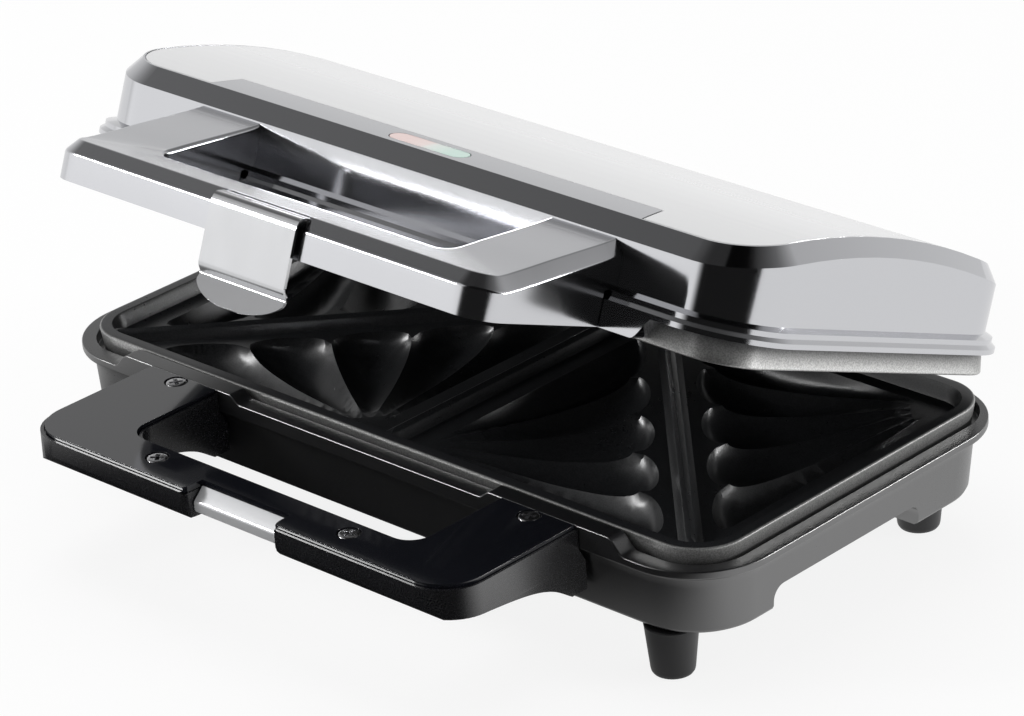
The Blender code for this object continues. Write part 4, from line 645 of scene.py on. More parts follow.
def plateBuild(bench, wires):
    x, y, z = bench.split(bench.node("GeometryNodeInputPosition"))
    x, y = x / mm, y / mm
    across, deep = abs(x), abs(y)
    outX, outY = across - wires["Half X"] + wires["Corner"], deep - wires["Half Y"] + wires["Corner"]
    farX, farY = outX.most(0.0), outY.most(0.0)
    inset = wires["Corner"] - (farX * farX + farY * farY).root() - outX.most(outY).least(0.0)
    edge = (wires["Edge"] - inset).most(0.0)
    rounded = wires["Edge"] - (wires["Edge"] * wires["Edge"] - edge * edge).most(0.0).root()
    wall = ((inset - wires["Rim"]) / wires["Wall run"]).clamped()
    rimZ = -rounded - wires["Field"] * (plate["wallEase"] * wall.eased() + (1 - plate["wallEase"]) * wall)
    runX, runY = plate["ridgeX"], plate["ridgeBack"] - plate["ridgeFront"]
    length = math.hypot(runX, runY)
    slanted = abs((across - plate["ridgeX"]) * (runY / length) + (y - plate["ridgeFront"]) * (runX / length))
    slope = (wires["Field"] - wires["Ridge top"]) / wires["Ridge run"]

    def ridgeRule(off):
        return -wires["Ridge top"] - slope * (off - wires["Ridge half"]).most(0.0)

    def smoothMost(first, second, blend):
        return bench.node("ShaderNodeMath", {"operation": "SMOOTH_MAX"}, {0: first, 1: second, 2: blend})

    ridges = ridgeRule(slanted).most(ridgeRule(across))
    cast = smoothMost(smoothMost(ridges, -wires["Field"], wires["Blend"]), rimZ, plate["rimBlend"])
    frontDistance, normal = pocketDistance(plate["innerX"], plate["frontY"])
    backDistance = pocketDistance(plate["outerX"], plate["backY"])[0]
    front, frontBoss = pocketRule(bench, wires, across - plate["innerX"], y - plate["frontY"], frontDistance, normal)
    back, backBoss = pocketRule(bench, wires, plate["outerX"] - across, plate["backY"] - y, backDistance, normal)
    top = cast.least(-front).least(-back)
    top = bench.node("GeometryNodeSwitch", {"input_type": "FLOAT"}, {0: inset < 5 * tiny, 1: top, 2: -wires["Edge"]})
    below = wires["Field"] + wires["Pocket"] + wires["Boss wall"] - wires["Skirt"]
    bottom = -wires["Skirt"] - below * frontBoss.most(backBoss)
    under = bench.node("GeometryNodeInputNamedAttribute", {"data_type": "FLOAT"}, {"Name": "under"})
    height = (top + (bottom - top) * under) * mm
    spot = bench.node("ShaderNodeCombineXYZ", values={0: x * mm, 1: y * mm, 2: height})
    shaped = bench.node("GeometryNodeSetPosition", values={"Geometry": wires["Geometry"], "Position": spot})
    worn = (1 - (inset - plate["wornFrom"]) / plate["wornRun"]).clamped()
    return bench.node("GeometryNodeStoreNamedAttribute", {"data_type": "FLOAT", "domain": "POINT"},
                      {"Geometry": shaped, "Name": "rimShare", "Value": worn})


plateTree = growTree("castPlateRule", plateRule, plateBuild)


def makePlate(name, matrix, bodyName, node, finishName):
    body = grown(plateSlab(name), plateTree, plateRule, finishName)
    for y in (-plate["postY"], plate["postY"]):
        boolean(body, rod(plate["postR"], plate["postFoot"], plate["postTop"], at=(0, y, 0)), "UNION")
        cut(body, rod(plate["boreR"], plate["postFoot"] - 3, plate["boreTop"], at=(0, y, 0)))
    finished(body, name, finishName, matrix, bodyName, node, angle=28)


makePlate("castLowerPlate", toBase, "base", "lower_plate", "lowerPlate")
makePlate("castUpperPlate", toLid @ turnOver, "lid", "upper_plate", "upperPlate")
print("plates made")

# Base housing
housing = {"halfX": 126.5, "front": -68, "back": 65, "round": 24, "side": -4, "root": 0.4, "middle": -1.9, "lip": 2.2,
           "flare": 4, "flareDepth": 4.4, "plateX": 121.2, "plateY": 62.4, "plateR": 15.7, "ledgeZ": -7.3, "ledgeX": 117,
           "ledgeY": 58.2, "ledgeR": 11.5, "ledge": 2.2, "wall": 2.3, "backInset": 4.2, "draft": 0.7, "floorZ": -25,
           "floorEdge": 1.6, "floor": 2, "recess": (-37, 24), "recessTop": -18, "recessDepth": 10, "recessR": 4,
           "backingRise": 1, "edge": 0.35}
foot = {"x": 103.5, "y": (-57, 47), "holeR": 3.3,
        "profile": ((0, -21.9), (3, -21.9), (3, -25.3), (7.2, -25.3), (7.5, -25.6), (7.35, -26.4), (6.05, -38.6),
                    (5.9, -39.2), (5.5, -39.8), (5.0, -40), (0, -40))}
cordHole = {"x": 34, "z": -16, "radius": 4.7}


# The height of a lip along the front: middle, then root where the handle starts, then side
def lipRise(side, root, middle):
    def rise(x, y):
        inner, outer = (easeStep((abs(x) - low) / (high - low)) for low, high in lipRuns)
        return middle + (root - middle) * inner + (side - root) * outer
    return rise


# An ear or a lug with its pin's bore around the hinge line
def knuckle(body, outline, turns, x, width):
    around = arc((hinge["y"], hinge["z"]), hinge["knuckle"], *turns, steps["knuckle"])
    low, high = sorted((x, x + width))
    boolean(body, eased(sideProfile("knuckle", outline + around, low, high), hinge["edge"], 2, 60), "UNION")


def hingeBore(body, side):
    at = (side * hinge["stationX"], hinge["y"], hinge["z"])
    cut(body, rod(hinge["bore"], -hinge["boreReach"], hinge["boreReach"], "X", at))


def makeHousing():
    h = housing
    places = frontStations()
    lip, lipLow = lipRise(h["side"], h["root"], h["middle"]), h["side"] - h["lip"]
    wallZ, third = lipLow - h["flareDepth"], h["flare"] * 2 / 3
    wallX, wallFront = h["halfX"] - h["flare"], h["front"] + h["flare"] - h["draft"]
    wallBack, wallR = h["back"] - h["backInset"], h["round"] - h["flare"]
    floorX, floorFront, floorBack = wallX - h["draft"], wallFront + h["draft"], wallBack - 2 * h["draft"]
    w, e = h["wall"], h["floorEdge"]

    def floorRing(inset, height):
        return ringOf(floorX - inset, floorFront + inset, floorBack - inset, wallR - inset, height, places)

    def ledgeRing(kind, height):
        return ringOf(h[kind + "X"], -h[kind + "Y"], h[kind + "Y"], h[kind + "R"], height, places)

    def outerRing(inset, height):
        return ringOf(h["halfX"] - inset, h["front"] + inset, h["back"] - inset, h["round"] - inset, height, places)

    rings = [
        floorRing(w, h["floorZ"] + h["floor"]),
        ringOf(wallX - w, wallFront + w, wallBack - w, wallR - w, h["ledgeZ"] - h["ledge"] - w, places),
        ledgeRing("ledge", h["ledgeZ"] - h["ledge"]),
        ledgeRing("ledge", h["ledgeZ"]),
        ledgeRing("plate", h["ledgeZ"]),
        ledgeRing("plate", lip),
        outerRing(0, lip),
        outerRing(0, lipLow),
        outerRing(third, lipLow - h["flareDepth"] / 3),
        ringOf(wallX, wallFront, wallBack, wallR, wallZ, places),
        ringOf(floorX, floorFront, floorBack, wallR, h["floorZ"] + e, places),
        floorRing(0.3 * e, h["floorZ"] + 0.42 * e),
        floorRing(e, h["floorZ"]),
    ]
    body = eased(loft("shell", rings), h["edge"], angle=35)
    inner = wallX - h["recessDepth"]
    (low, high), r, top = h["recess"], h["recessR"], h["recessTop"]
    outline = arc((low + r, top - r), r, 180, 90, steps["recess"])
    outline += arc((high - r, top - r), r, 90, 0, steps["recess"])
    outline += [(high, h["floorZ"] - overrun), (low, h["floorZ"] - overrun)]
    for side in (1, -1):
        near, far = sorted((side * (inner - w), side * (floorX - w / 2)))
        backing = boxShape("backing", (near, low - w, h["floorZ"] + h["backingRise"]), (far, high + w, top + w))
        boolean(body, backing, "UNION")
        cut(body, sideProfile("recess", outline, *sorted((side * inner, side * (wallX + overrun)))))
    earTop = (h["back"] - hinge["earTop"][0], lipLow + hinge["earTop"][1])
    outline = [(floorBack - w / 2, h["floorZ"] + 2 * w), (wallBack - w / 3, wallZ + w / 2), earTop]
    for side in (1, -1):
        for edge in (1, -1):
            near = side * hinge["stationX"] + edge * (hinge["lug"] / 2 + hinge["gap"])
            knuckle(body, outline, hinge["earArc"], near, edge * hinge["ear"])
        hingeBore(body, side)
    feet = [(side * foot["x"], y, foot["holeR"]) for side in (1, -1) for y in foot["y"]]
    for x, y, radius in feet + [(0, side * plate["postY"], plate["boreR"]) for side in (-1, 1)]:
        cut(body, rod(radius, -2 * overrun, 2 * overrun, at=(x, y, h["floorZ"])))
    cordAt = (cordHole["x"], wallBack - w / 2, cordHole["z"])
    cut(body, rod(cordHole["radius"], -2 * overrun, 2 * overrun, "Y", cordAt))
    finished(body, "baseShell", "housing", toBase, "base", "lower_housing")


makeHousing()
print("base shell made")

# Base handle: frame, cover, screws and catch
grip = {"halfX": 82, "front": -117, "round": 12.5, "top": -0.5, "frontZ": -5.5, "toe": 2.5, "toeZ": -9,
        "toeEdge": (0.6, 1.6), "rootZ": -19, "rootY": -68.3, "rootIn": 2.6, "tongue": (-10.6, -6.2),
        "shares": ((0.3, -0.9), (0.6, -2.6), (0.78, -5), (0.93, -9)), "openX": 54, "openFront": -101.2, "openR": 7,
        "inset": 1, "gap": 0.3, "coverTop": 0.6, "cover": 1.7, "coverEdge": 0.45, "notchX": 17, "notchBack": -109.5,
        "notchCurve": ((0, 4), (0.25, 2.2), (1.1, 0.4), (1.5, -1), (1.5, -4)), "edge": 0.5}
screw = {"places": ((67.7, -71.5), (36.8, -107.5)), "head": 3.1, "bore": 1.6, "boreLow": -6.4, "boreHigh": 3,
         "crown": ((0.868, 0.02), (0.35, 0.12), (0.08, 0.35), (0, 0.6)),
         "shank": ((1.3, 0), (1.3, -4.4), (0.7, -5), (0, -5)),
         "cross": (3.6, 0.85), "crossLow": 1.0, "crossHigh": 0.6, "crossGrow": 0.25, "turn": 37.0, "firstTurn": 20.0}
catch = {"profile": ((-109.8, -0.8), (-113.1, -3.84), (-113.44, -4.4), (-113.5, -5), (-113.5, -6.8), (-113.2, -7.4),
                     (-109.8, -8.6)), "edge": 0.25}


def handlePlan(halfX, front, radius, back):
    outline = [(-halfX, back)] + arc((-halfX + radius, front + radius), radius, 180, 270, steps["grip"])
    return outline + arc((halfX - radius, front + radius), radius, 270, 360, steps["grip"]) + [(halfX, back)]


def notchPlan():
    right = [(grip["notchX"], grip["notchBack"])]
    right += [(grip["notchX"] + out, grip["front"] + ahead) for out, ahead in grip["notchCurve"]]
    return [(-x, y) for x, y in right] + list(reversed(right))


def coverPlan(extra):
    grow = grip["inset"] - extra
    outer = handlePlan(grip["halfX"] - grow, grip["front"] + grow, grip["round"], grip["rootY"])
    inner = handlePlan(grip["openX"] + grow, grip["openFront"] - grow, grip["openR"], grip["rootY"])
    return outer + list(reversed(inner))


def screwPlaces():
    return [(side * x, y) for x, y in screw["places"] for side in (1, -1)]


def makeFrame():
    g = grip
    toeY, last = g["front"] + g["toe"], g["shares"][-1]
    knots = [(0, 0)] + [(share, fall / last[1]) for share, fall in g["shares"]]
    arm = []
    for i in range(1, steps["arm"] + 1):
        share = last[0] * i / steps["arm"]
        arm.append((toeY + (g["rootY"] - toeY) * share, g["toeZ"] + (g["rootZ"] - g["toeZ"]) * through(knots, share)))
    rootY = g["rootY"] + g["rootIn"]
    toeEdge = (g["front"] + g["toeEdge"][0], g["frontZ"] - g["toeEdge"][1])
    outline = [(g["front"], g["top"]), (g["front"], g["frontZ"]), toeEdge, (toeY, g["toeZ"])] + arm
    outline += [(rootY, g["rootZ"]), (rootY, g["tongue"][0]), (g["rootY"], g["tongue"][1]), (g["rootY"], g["top"])]
    body = sideProfile("frame", outline, -g["halfX"], g["halfX"])
    back, low = rootY + overrun, g["rootZ"] - overrun
    plan = extruded("plan", handlePlan(g["halfX"], g["front"], g["round"], back), low, overrun)
    boolean(body, plan, "INTERSECT", "EXACT")
    cut(body, extruded("opening", handlePlan(g["openX"], g["openFront"], g["openR"], back), low, overrun), "EXACT")
    cut(body, extruded("notch", notchPlan(), low, overrun), "EXACT")
    eased(body, g["edge"])
    seat = [(x, y + overrun if y == g["rootY"] else y) for x, y in coverPlan(g["gap"])]
    cut(body, extruded("seat", seat, g["coverTop"] - g["cover"] - g["gap"], overrun))
    for x, y in screwPlaces():
        cut(body, rod(screw["bore"], screw["boreLow"], screw["boreHigh"], at=(x, y, 0)))
    finished(body, "handleFrame", "frame", toBase, "base", "lower_handle_frame")


def makeCover():
    count = steps["round"]
    holes = [arc(spot, screw["head"] + grip["gap"], 360, 360 / count, count - 1) for spot in screwPlaces()]
    body = extruded("cover", coverPlan(0), grip["coverTop"] - grip["cover"], grip["coverTop"], holes)
    cut(body, extruded("notch", notchPlan(), -overrun, overrun), "EXACT")
    finished(eased(body, grip["coverEdge"], 4, 50), "handleCover", "cover", toBase, "base", "lower_handle_cover")


def makeCatch():
    half = grip["notchX"] - grip["gap"]
    body = eased(sideProfile("catch", catch["profile"], -half, half), catch["edge"], 2, 60)
    finished(body, "catchNose", "catch", toBase, "base", "catch_plate")


def copiesBuild(bench, wires):
    spots = bench.node("GeometryNodeMeshToPoints", values={"Mesh": wires["Geometry"]})
    item = bench.node("GeometryNodeObjectInfo", {"transform_space": "ORIGINAL"}, {"Object": wires["Item"]}, out=4)
    turn = (bench.node("GeometryNodeInputIndex") * wires["Turn"] + wires["First turn"]) * math.radians(1)
    turned = bench.node("ShaderNodeCombineXYZ", values={2: turn})
    return bench.node("GeometryNodeInstanceOnPoints", values={"Points": spots, "Instance": item, "Rotation": turned})


def placedCopies(name, item, places, turn, firstTurn, finishName, *nodes):
    mesh = bpy.data.meshes.new(name)
    mesh.from_pydata([(x * mm, y * mm, 0) for x, y in places], [], [])
    sizes = {"Item": item, "Turn": turn, "First turn": firstTurn}
    body = grown(linked(name, mesh), growTree(name + "Rule", sizes, copiesBuild), sizes, finishName)
    bpy.data.objects.remove(item)
    finished(body, name, finishName, toBase, "base", *nodes)


# A pan head with a cross cut into it
def screwHead():
    s, top, seat = screw, grip["coverTop"], grip["coverTop"] - grip["cover"]
    profile = [(0, top)] + [(s["head"] - inset, top - fall) for inset, fall in s["crown"]] + [(s["head"], seat)]
    body = turnedShape("head", profile + [(radius, seat + fall) for radius, fall in s["shank"]])
    square = ((-1, -1), (1, -1), (1, 1), (-1, 1))
    for long, wide in (s["cross"], s["cross"][::-1]):
        rings = []
        for z, grow in ((top - s["crossLow"], 0.0), (top + s["crossHigh"], s["crossGrow"])):
            rings.append([(x * (long / 2 + grow) * mm, y * (wide / 2 + grow) * mm, z * mm) for x, y in square])
        cut(body, loft("slot", rings))
    return body


makeFrame()
makeCover()
makeCatch()
placedCopies("coverScrews", screwHead(), screwPlaces(), screw["turn"], screw["firstTurn"], "steel",
             "cover_screw_back_right", "cover_screw_back_left", "cover_screw_front_right", "cover_screw_front_left")
footPlaces = [(side * foot["x"], y) for y in foot["y"] for side in (1, -1)]
placedCopies("rubberFeet", turnedShape("foot", foot["profile"]), footPlaces,
             0.0, 0.0, "foot", "foot_front_right", "foot_front_left", "foot_back_right", "foot_back_left")
print("base handle and feet made")

# Lid housing, as it lies when closed
lid = {"halfX": 126.3, "front": -67.3, "back": 62.8, "round": 24, "z": 8, "middle": 1.8, "bead": 1.4, "groove": 1,
       "beadInset": 1.3, "wallInset": 4.3, "backInset": 3, "wallZ": 12.7, "archTop": 37.1, "archCurve": 0.0021,
       "archY": -4, "bandDrop": 4.6, "bandInset": 4, "wall": 2.3, "ledgeX": 116.5, "ledgeY": 57.8, "ledgeR": 12.7,
       "ledge": 2.2, "seat": 0.15, "plateX": 121.2, "plateY": 61.8, "plateR": 15.7, "gap": 0.3, "edge": 0.4}
tower = {"low": 23.7, "radius": 5, "bore": 3.3, "floor": 2}
panel = {"deep": 1, "edge": 0.8, "stripX": 81, "stripBack": -48, "slant": 2, "soft": 0.35}
window = {"length": 28, "width": 6, "y": -53.8, "deep": 3.2, "soft": 0.7,
          "bedX": 7, "bedR": 2.5, "bedHalf": 5.8, "bedDrop": 2.2}


def arch(drop=0.0):
    return lambda x, y: lid["archTop"] - drop - lid["archCurve"] * (y - lid["archY"]) ** 2


def panelPlan(extra):
    inset = lid["wallInset"] + lid["bandInset"] + panel["edge"] - extra
    back = lid["back"] - inset + lid["wallInset"] - lid["backInset"]
    right = halfOutline(lid["halfX"] - inset, lid["front"] + inset, back, lid["round"] - inset)
    strip = panel["stripX"] - extra
    return mirrored([(strip - panel["slant"], panel["stripBack"] - extra), (strip, lid["front"] + inset)] + right)


def archSlab(lowDrop, highRise):
    count = steps["arch"]
    low, high = arch(lowDrop), arch(-highRise)
    places = [lid["front"] + (lid["back"] - lid["front"]) * i / count for i in range(count + 1)]
    outline = [(y, low(0, y)) for y in places] + [(y, high(0, y)) for y in reversed(places)]
    return sideProfile("slab", outline, -lid["halfX"], lid["halfX"])


def windowPlan(extra):
    radius, reach = window["width"] / 2 + extra, (window["length"] - window["width"]) / 2
    right = arc((reach, window["y"]), radius, -90, 90, steps["window"])
    return right + arc((-reach, window["y"]), radius, 90, 270, steps["window"])


def makeLid():
    d = lid
    places = frontStations()
    lip = lipRise(d["z"], d["middle"], d["middle"])
    band, w, cutTop = d["wallInset"] + d["bandInset"], d["wall"], d["archTop"] + overrun
    bead, underPanel = d["z"] + d["bead"], arch(panel["deep"] + d["wall"] + d["gap"])

    def outerRing(inset, height, backShare=1.0):
        back = d["back"] - inset * backShare
        return ringOf(d["halfX"] - inset, d["front"] + inset, back, d["round"] - inset, height, places)

    def wallRing(inset, height):
        return outerRing(inset, height, d["backInset"] / d["wallInset"])

    def ledgeRing(height):
        return ringOf(d["ledgeX"], -d["ledgeY"], d["ledgeY"] - w, d["ledgeR"], height, places)

    def plateRing(height):
        return ringOf(d["plateX"], -d["plateY"], d["plateY"], d["plateR"], height, places)

    rings = [
        wallRing(band + w / 2, underPanel),
        wallRing(d["wallInset"] + w, arch(d["bandDrop"] + w / 2)),
        wallRing(d["wallInset"] + w, d["wallZ"]),
        ledgeRing(d["z"] + d["ledge"]),
        ledgeRing(d["z"] + d["seat"]),
        plateRing(d["z"] + d["seat"]),
        plateRing(lip),
        outerRing(0, lip),
        outerRing(0, bead),
        outerRing(d["beadInset"], bead + d["groove"]),
        outerRing(d["beadInset"], bead + d["groove"] + d["bead"]),
        wallRing(d["wallInset"], d["wallZ"]),
        wallRing(d["wallInset"], arch(d["bandDrop"])),
        wallRing(band, arch()),
    ]
    body = eased(loft("lidShell", rings, True), d["edge"], angle=30)
    recess = extruded("recess", panelPlan(d["gap"]), 0, cutTop)
    boolean(recess, archSlab(panel["deep"] + d["gap"], overrun), "INTERSECT")
    cut(body, recess)
    wallBack = d["back"] - d["backInset"]
    lugTop = d["archTop"] - d["archCurve"] * wallBack**2 - 2 * d["bandDrop"]
    outline = [(d["back"] - w, d["z"] + d["bead"] / 2), (wallBack - w / 2, lugTop)]
    for side in (1, -1):
        knuckle(body, outline, hinge["lugArc"], side * hinge["stationX"] - hinge["lug"] / 2, hinge["lug"])
        hingeBore(body, side)
    for y in (-plate["postY"], plate["postY"]):
        boolean(body, rod(tower["radius"], tower["low"], underPanel(0, y) + w / 2, at=(0, y, 0)), "UNION")
        cut(body, rod(tower["bore"], tower["low"] + tower["floor"], cutTop, at=(0, y, 0)))
        cut(body, rod(plate["boreR"], -2 * overrun, 2 * overrun, at=(0, y, tower["low"])))
    cut(body, extruded("slot", windowPlan(d["gap"]), arch(window["deep"] + d["gap"])(0, window["y"]), cutTop))
    bedZ = arch(window["deep"] + 2 * d["gap"])(0, window["y"]) - window["bedDrop"]
    for side in (1, -1):
        bedAt = (side * window["bedX"], window["y"], bedZ)
        cut(body, rod(window["bedR"], -window["bedHalf"], window["bedHalf"], "X", bedAt))
    finished(body, "lidShellChrome", "lidChrome", toLid, "lid", "lid_housing")


def makePanel():
    body = extruded("panel", panelPlan(0), 0, lid["archTop"] + overrun)
    boolean(body, archSlab(panel["deep"], 0), "INTERSECT")
    finished(eased(body, panel["soft"], angle=50), "topPanel", "panel", toLid, "lid", "lid_top_panel")


def makeWindow():
    body = extruded("window", windowPlan(0), arch(window["deep"])(0, window["y"]), lid["archTop"])
    boolean(body, archSlab(2 * window["deep"], 0), "INTERSECT")
    finished(eased(body, window["soft"], 5, 50), "lampWindow", "window", toLid, "lid", "indicator_window")


makeLid()
makePanel()
makeWindow()
print("lid made")

# Lid handle and latch
lever = {"halfX": 81, "front": -114.5, "round": 9.5, "bottom": 1.8, "top": 13.3, "root": 24.7, "openX": 54,
         "openFront": -100.4, "openR": 4,
         "shares": ((0, 0), (0.16, 0), (0.31, 1.7), (0.53, 4.7), (0.75, 7.6), (0.9, 9.6), (1, 11.1)),
         "slotX": 16.6, "latchY": -112.6, "latchZ": 11.4, "barrel": 1.6, "pin": 0.8, "pinGap": 0.02, "gap": 0.3,
         "wallGap": 0.05, "rootSlope": 0.3,
         "outerEdge": ((0, 4.1), (0.1, 3.7), (0.35, 3.3), (3.0, 0.3), (3.3, 0.08), (3.7, 0)),
         "innerEdge": ((1.3, 0), (0.8, 0.1), (0.35, 0.4), (0.08, 0.85), (0, 1.4)),
         "armRows": 24, "bendRows": 4, "bendSteps": 14, "barRows": 12, "bendStart": 1}
lever["back"] = lid["front"] + lid["wallInset"] - lever["wallGap"]
lever["shoulder"] = lid["front"] - lever["gap"]


# The height of the handle's top at y: level at the front, then rising along the arms to the lid
def leverTop(y):
    v = lever
    share = (y - v["front"]) / (v["back"] - v["front"])
    if share <= v["shares"][1][0]:
        return v["top"]
    return v["top"] + max(through(v["shares"], share), 0) * (v["root"] - v["top"]) / v["shares"][-1][1]


# Pairs of outer and inner points round the handle, from one arm's root to the other's
def leverStations():
    v = lever
    split = v["openFront"] + v["openR"] + v["bendStart"]
    arm = [v["back"], v["shoulder"] + v["pinGap"], v["shoulder"]]
    arm += [v["shoulder"] + (split - v["shoulder"]) * i / v["armRows"] for i in range(1, v["armRows"] + 1)]
    stations = [((-v["halfX"], y), (-v["openX"], y)) for y in arm]
    outerBend = (-v["halfX"] + v["round"], v["front"] + v["round"])
    innerBend = (-v["openX"] + v["openR"], v["openFront"] + v["openR"])
    for i in range(1, v["bendRows"] + 1):
        outerY, innerY = (split + (bend[1] - split) * i / v["bendRows"] for bend in (outerBend, innerBend))
        stations.append(((-v["halfX"], outerY), (-v["openX"], innerY)))
    bends = ((outerBend, v["round"]), (innerBend, v["openR"]))
    turns = [arc(bend, radius, 180, 270, v["bendSteps"])[1:] for bend, radius in bends]
    stations += list(zip(*turns))
    for i in range(1, v["barRows"]):
        left = 1 - i / v["barRows"]
        stations.append(((outerBend[0] * left, v["front"]), (innerBend[0] * left, v["openFront"])))
    middle = ((0, v["front"]), (0, v["openFront"]))
    return stations + [middle] + [((-a[0], a[1]), (-b[0], b[1])) for a, b in reversed(stations)]


def edgeRow(before, here, after, turn, edge):
    along = (Vector(after) - Vector(before)).normalized()
    inward = Vector((-along.y, along.x)) * turn
    row = []
    for inset, drop in edge:
        spot = Vector(here) + inward * inset
        row.append((spot.x, spot.y, leverTop(spot.y) - drop))
    return row


def makeLever():
    v = lever
    stations = leverStations()
    rings = []
    for i, (outer, inner) in enumerate(stations):
        before, after = stations[max(i - 1, 0)], stations[min(i + 1, len(stations) - 1)]
        rootLow = lid["wallZ"] - (v["back"] - outer[1]) * v["rootSlope"]
        low = v["bottom"] if outer[1] <= v["shoulder"] + 10 * tiny else rootLow
        ring = [(*outer, low)] + edgeRow(before[0], outer, after[0], 1, v["outerEdge"])
        ring += edgeRow(before[1], inner, after[1], -1, v["innerEdge"]) + [(*inner, low)]
        rings.append([(x * mm, y * mm, z * mm) for x, y, z in ring])
    body = loft("lever", rings)
    room = v["barrel"] + v["gap"]
    slotLow = (-v["slotX"], v["front"] - overrun, v["latchZ"] - room)
    slotHigh = (v["slotX"], v["latchY"] + room, v["top"] + overrun)
    cut(body, boxShape("slot", slotLow, slotHigh), "EXACT")
    finished(body, "leverChrome", "handleChrome", toLid, "lid", "upper_handle", angle=26)


# The outline of bent sheet along a path of (y, z)
def sheetOutline(path, thickness):
    left, right = [], []
    for i, spot in enumerate(path):
        here = Vector(spot)
        before, after = Vector(path[max(i - 1, 0)]), Vector(path[min(i + 1, len(path) - 1)])
        first = (here - before).normalized() if i else (after - here).normalized()
        second = (after - here).normalized() if i < len(path) - 1 else first
        along = (first + second).normalized()
        side = Vector((-along.y, along.x)) * (thickness / 2) / max(along.dot(first), 0.5)
        left.append(tuple(here + side))
        right.append(tuple(here - side))
    return left + list(reversed(right))


def roundedPath(path, radius, count):
    result = [path[0]]
    for before, here, after in zip(path, path[1:], path[2:]):
        a, b, c = Vector(before), Vector(here), Vector(after)
        reach = min(radius, (a - b).length * 0.45, (c - b).length * 0.45)
        start, end = b + (a - b).normalized() * reach, b + (c - b).normalized() * reach
        for i in range(count + 1):
            t = i / count
            result.append(tuple(start * (1 - t) ** 2 + b * 2 * t * (1 - t) + end * t * t))
    return result + [path[-1]]


clip = {"half": 16, "sheet": 1,
        "path": ((-112.6, 12.2), (-115, 12.3), (-116.1, 10.2), (-116.1, -7), (-114.4, -9.3), (-118.2, -16)),
        "tabHalf": 16.6, "tabTop": 16, "tabDeep": (108, 122), "hookZ": -9.3, "tabZ": -16, "bends": (0.9, 6), "bore": 1.1,
        "boreReach": 20, "edge": 0.15}


def makeClip():
    c, at = clip, (0, lever["latchY"], lever["latchZ"])
    body = sideProfile("clip", sheetOutline(roundedPath(c["path"], *c["bends"]), c["sheet"]), -c["half"], c["half"])
    boolean(body, rod(lever["barrel"], -c["half"], c["half"], "X", at), "UNION")
    cut(body, rod(c["bore"], -c["boreReach"], c["boreReach"], "X", at))
    drop, turns = c["hookZ"] - c["tabZ"], [-math.pi * i / steps["tab"] for i in range(steps["tab"] + 1)]
    tab = [(c["tabHalf"] * math.cos(turn), c["hookZ"] + drop * math.sin(turn)) for turn in turns]
    face = extruded("tab", tab + [(-c["tabHalf"], c["tabTop"]), (c["tabHalf"], c["tabTop"])], *c["tabDeep"])
    face.data.transform(Matrix.Rotation(math.radians(90), 4, "X"))
    boolean(body, face, "INTERSECT")
    finished(eased(body, c["edge"], 2, 50), "clipSheet", "latchChrome", toLid, "latch", "latch_clip")


def makePin():
    reach = lever["slotX"] - lever["pinGap"]
    body = rod(lever["pin"], -reach, reach, "X", (0, lever["latchY"], lever["latchZ"]))
    finished(body, "latchPin", "steel", toLid, "lid", "latch_pin")


makeLever()
makeClip()
makePin()
print("handle and latch made")

# CAD nodes that keep their shape get their finish
kept = {"steel": ("hinge_pin_right", "hinge_pin_left", "lower_plate_screw_front", "lower_plate_screw_back",
                  "upper_plate_screw_front", "upper_plate_screw_back", "thermostat"),
        "sheath": ("lower_heating_element", "upper_heating_element"),
        "reflector": ("lower_reflector", "upper_reflector"),
        "foot": ("cord_gland",), "sleeve": ("thermal_fuse",), "white": ("terminal_block",), "redLamp": ("red_lamp",),
        "greenLamp": ("green_lamp",)}
for name, nodes in kept.items():
    for node in nodes:
        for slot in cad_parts[node].material_slots:
            slot.material = finishes[name]

# Camera
view = {"lens": 158.44, "sensor": 36, "clip": 0.05, "at": (0.8021, -0.8068, 0.5813),
        "x": (0.73131, 0.68011, -0.05142),
        "y": (-0.25585, 0.34343, 0.90366), "z": (0.63225, -0.64770, 0.42516)}
eye = bpy.data.cameras.new("eye")
eye.lens = view["lens"]
eye.sensor_width = view["sensor"]
eye.clip_start = view["clip"]
bpy.context.scene.camera = linked("eye", eye)
rows = [*zip(view["x"], view["y"], view["z"], view["at"]), (0, 0, 0, 1)]
bpy.context.scene.camera.matrix_world = Matrix(rows)

lampAim = (0, 0, 0.05)
lamps = {
    "overhead": {"at": (-0.25, 0.15, 1.25), "size": (0.9, 0.9), "watts": 7.0, "shine": False},
    "frontLeft": {"at": (-0.975, -0.93, 0.66), "size": (0.3, 0.3), "watts": 8.0, "shine": True},
    "backRight": {"at": (1.25, 1.15, 0.2), "size": (0.9, 0.3), "watts": 18.0, "shine": True},
}
for name, given in lamps.items():
    light = bpy.data.lights.new(name, "AREA")
    light.shape = "RECTANGLE"
    light.size, light.size_y = given["size"]
    light.energy = given["watts"]
    lamp = linked(name, light)
    lamp.location = given["at"]
    lamp.rotation_euler = (Vector(lampAim) - Vector(given["at"])).to_track_quat("-Z", "Y").to_euler()
    lamp.visible_glossy = given["shine"]

# The room: white low down at the sides and the back, dark above and behind the camera, with a soft box at the front
room = {"heights": ((0.0, 0.73), (0.24, 0.62), (0.36, 0.54), (0.5, 0.38), (0.7, 0.16), (0.94, 0.03)), "fill": 0.45,
        "camera": (0.755, -0.656), "cameraFrom": 0.3, "cameraRun": 0.22, "cameraDark": 0.985,
        "softBox": (-0.643, -0.766), "softFrom": 0.8, "softRun": 0.12, "softTop": 0.8,
        "softFade": 0.1, "softLight": 0.5, "softLow": 0.55}


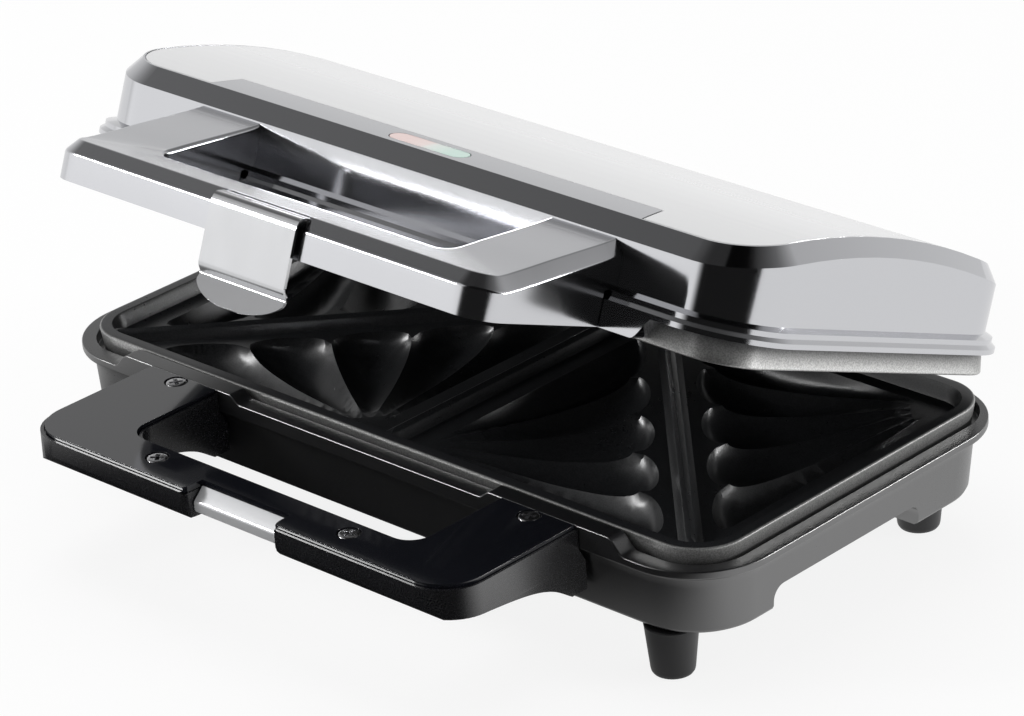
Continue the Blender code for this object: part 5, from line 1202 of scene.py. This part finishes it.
# Which rays see the tree's surface: the camera's own, and those off gloss or through glass
def raysOf(tree):
    rays = tree.nodes.new("ShaderNodeLightPath").outputs
    seen, glossy, clear = (Wire(tree, rays["Is %s Ray" % kind]) for kind in ("Camera", "Glossy", "Transmission"))
    return seen, glossy.most(clear)


def makeRoom():
    r = room
    world = bpy.data.worlds.new("studio")
    bpy.context.scene.world = world
    world.use_nodes = True
    sky = Bench(world.node_tree)
    seen, shiny = raysOf(world.node_tree)
    ways = sky.split(sky.node("ShaderNodeTexCoord", out="Generated"))
    flat = (ways[0] * ways[0] + ways[1] * ways[1]).root().most(10 * tiny)

    def towards(way, start, run):
        return (((way[0] * ways[0] + way[1] * ways[1]) / flat - start) / run).eased()

    stops = [(height, (value, value, value)) for height, value in r["heights"]]
    byHeight = sky.node("ShaderNodeValToRGB", {"stops": stops}, {0: ways[2].clamped()})
    cameraSide = towards(r["camera"], r["cameraFrom"], r["cameraRun"])
    softBox = towards(r["softBox"], r["softFrom"], r["softRun"])
    softBox = softBox * (1 - ((ways[2] - r["softTop"]) / r["softFade"]).eased())
    shine = byHeight + r["softLight"] * softBox * ways[2].clamped().root().most(r["softLow"])
    shine = shine * (1 - r["cameraDark"] * cameraSide)
    back = world.node_tree.nodes["Background"]
    plug(world.node_tree, back.inputs["Strength"], seen + (1 - seen) * (shiny * shine + (1 - shiny) * r["fill"]))
    back.inputs["Color"].default_value = (1, 1, 1, 1)


# White paper that keeps a faint shadow; in reflections it is white behind and beside the object, dark in front
paper = {"half": 3, "drop": 0.0002, "grey": 0.9, "rough": 0.9, "keep": 0.86, "front": 0.008, "white": 0.84,
         "behind": (0.4, 0.06, 0.1), "beside": (0.09, 0.12)}


def makeFloor():
    p = paper
    mesh = bpy.data.meshes.new("floor")
    square = ((-1, -1), (1, -1), (1, 1), (-1, 1))
    mesh.from_pydata([(x * p["half"], y * p["half"], 0) for x, y in square], [], [(0, 1, 2, 3)])
    floor = linked("floor", mesh)
    floor.location = (0, 0, -p["drop"])
    material = bpy.data.materials.new("paper")
    material.use_nodes = True
    tree = material.node_tree
    bench = Bench(tree)
    matte = tree.nodes["Principled BSDF"]
    look = {"Base Color": (p["grey"],) * 3 + (1,), "Roughness": p["rough"], "Specular IOR Level": 0.0}
    for socket, value in look.items():
        matte.inputs[socket].default_value = value
    seen, shiny = raysOf(tree)
    spots = bench.split(bench.node("ShaderNodeTexCoord", out="Object"))
    slant, start, run = p["behind"]
    behind = ((spots[1] + slant * spots[0] + start) / run).eased()
    beside = ((-p["beside"][0] - spots[0]) / p["beside"][1]).eased()
    glow = seen + shiny * (p["front"] + p["white"] * behind.most(beside))
    white = bench.node("ShaderNodeEmission", values={"Strength": glow})
    share = p["keep"] * seen + shiny
    mix = bench.node("ShaderNodeMixShader", values={0: share, 1: Wire(tree, matte.outputs[0]), 2: white})
    plug(tree, tree.nodes["Material Output"].inputs["Surface"], mix)
    mesh.materials.append(material)


makeRoom()
makeFloor()
bpy.context.scene.view_settings.view_transform = "Standard"
print("stage made")
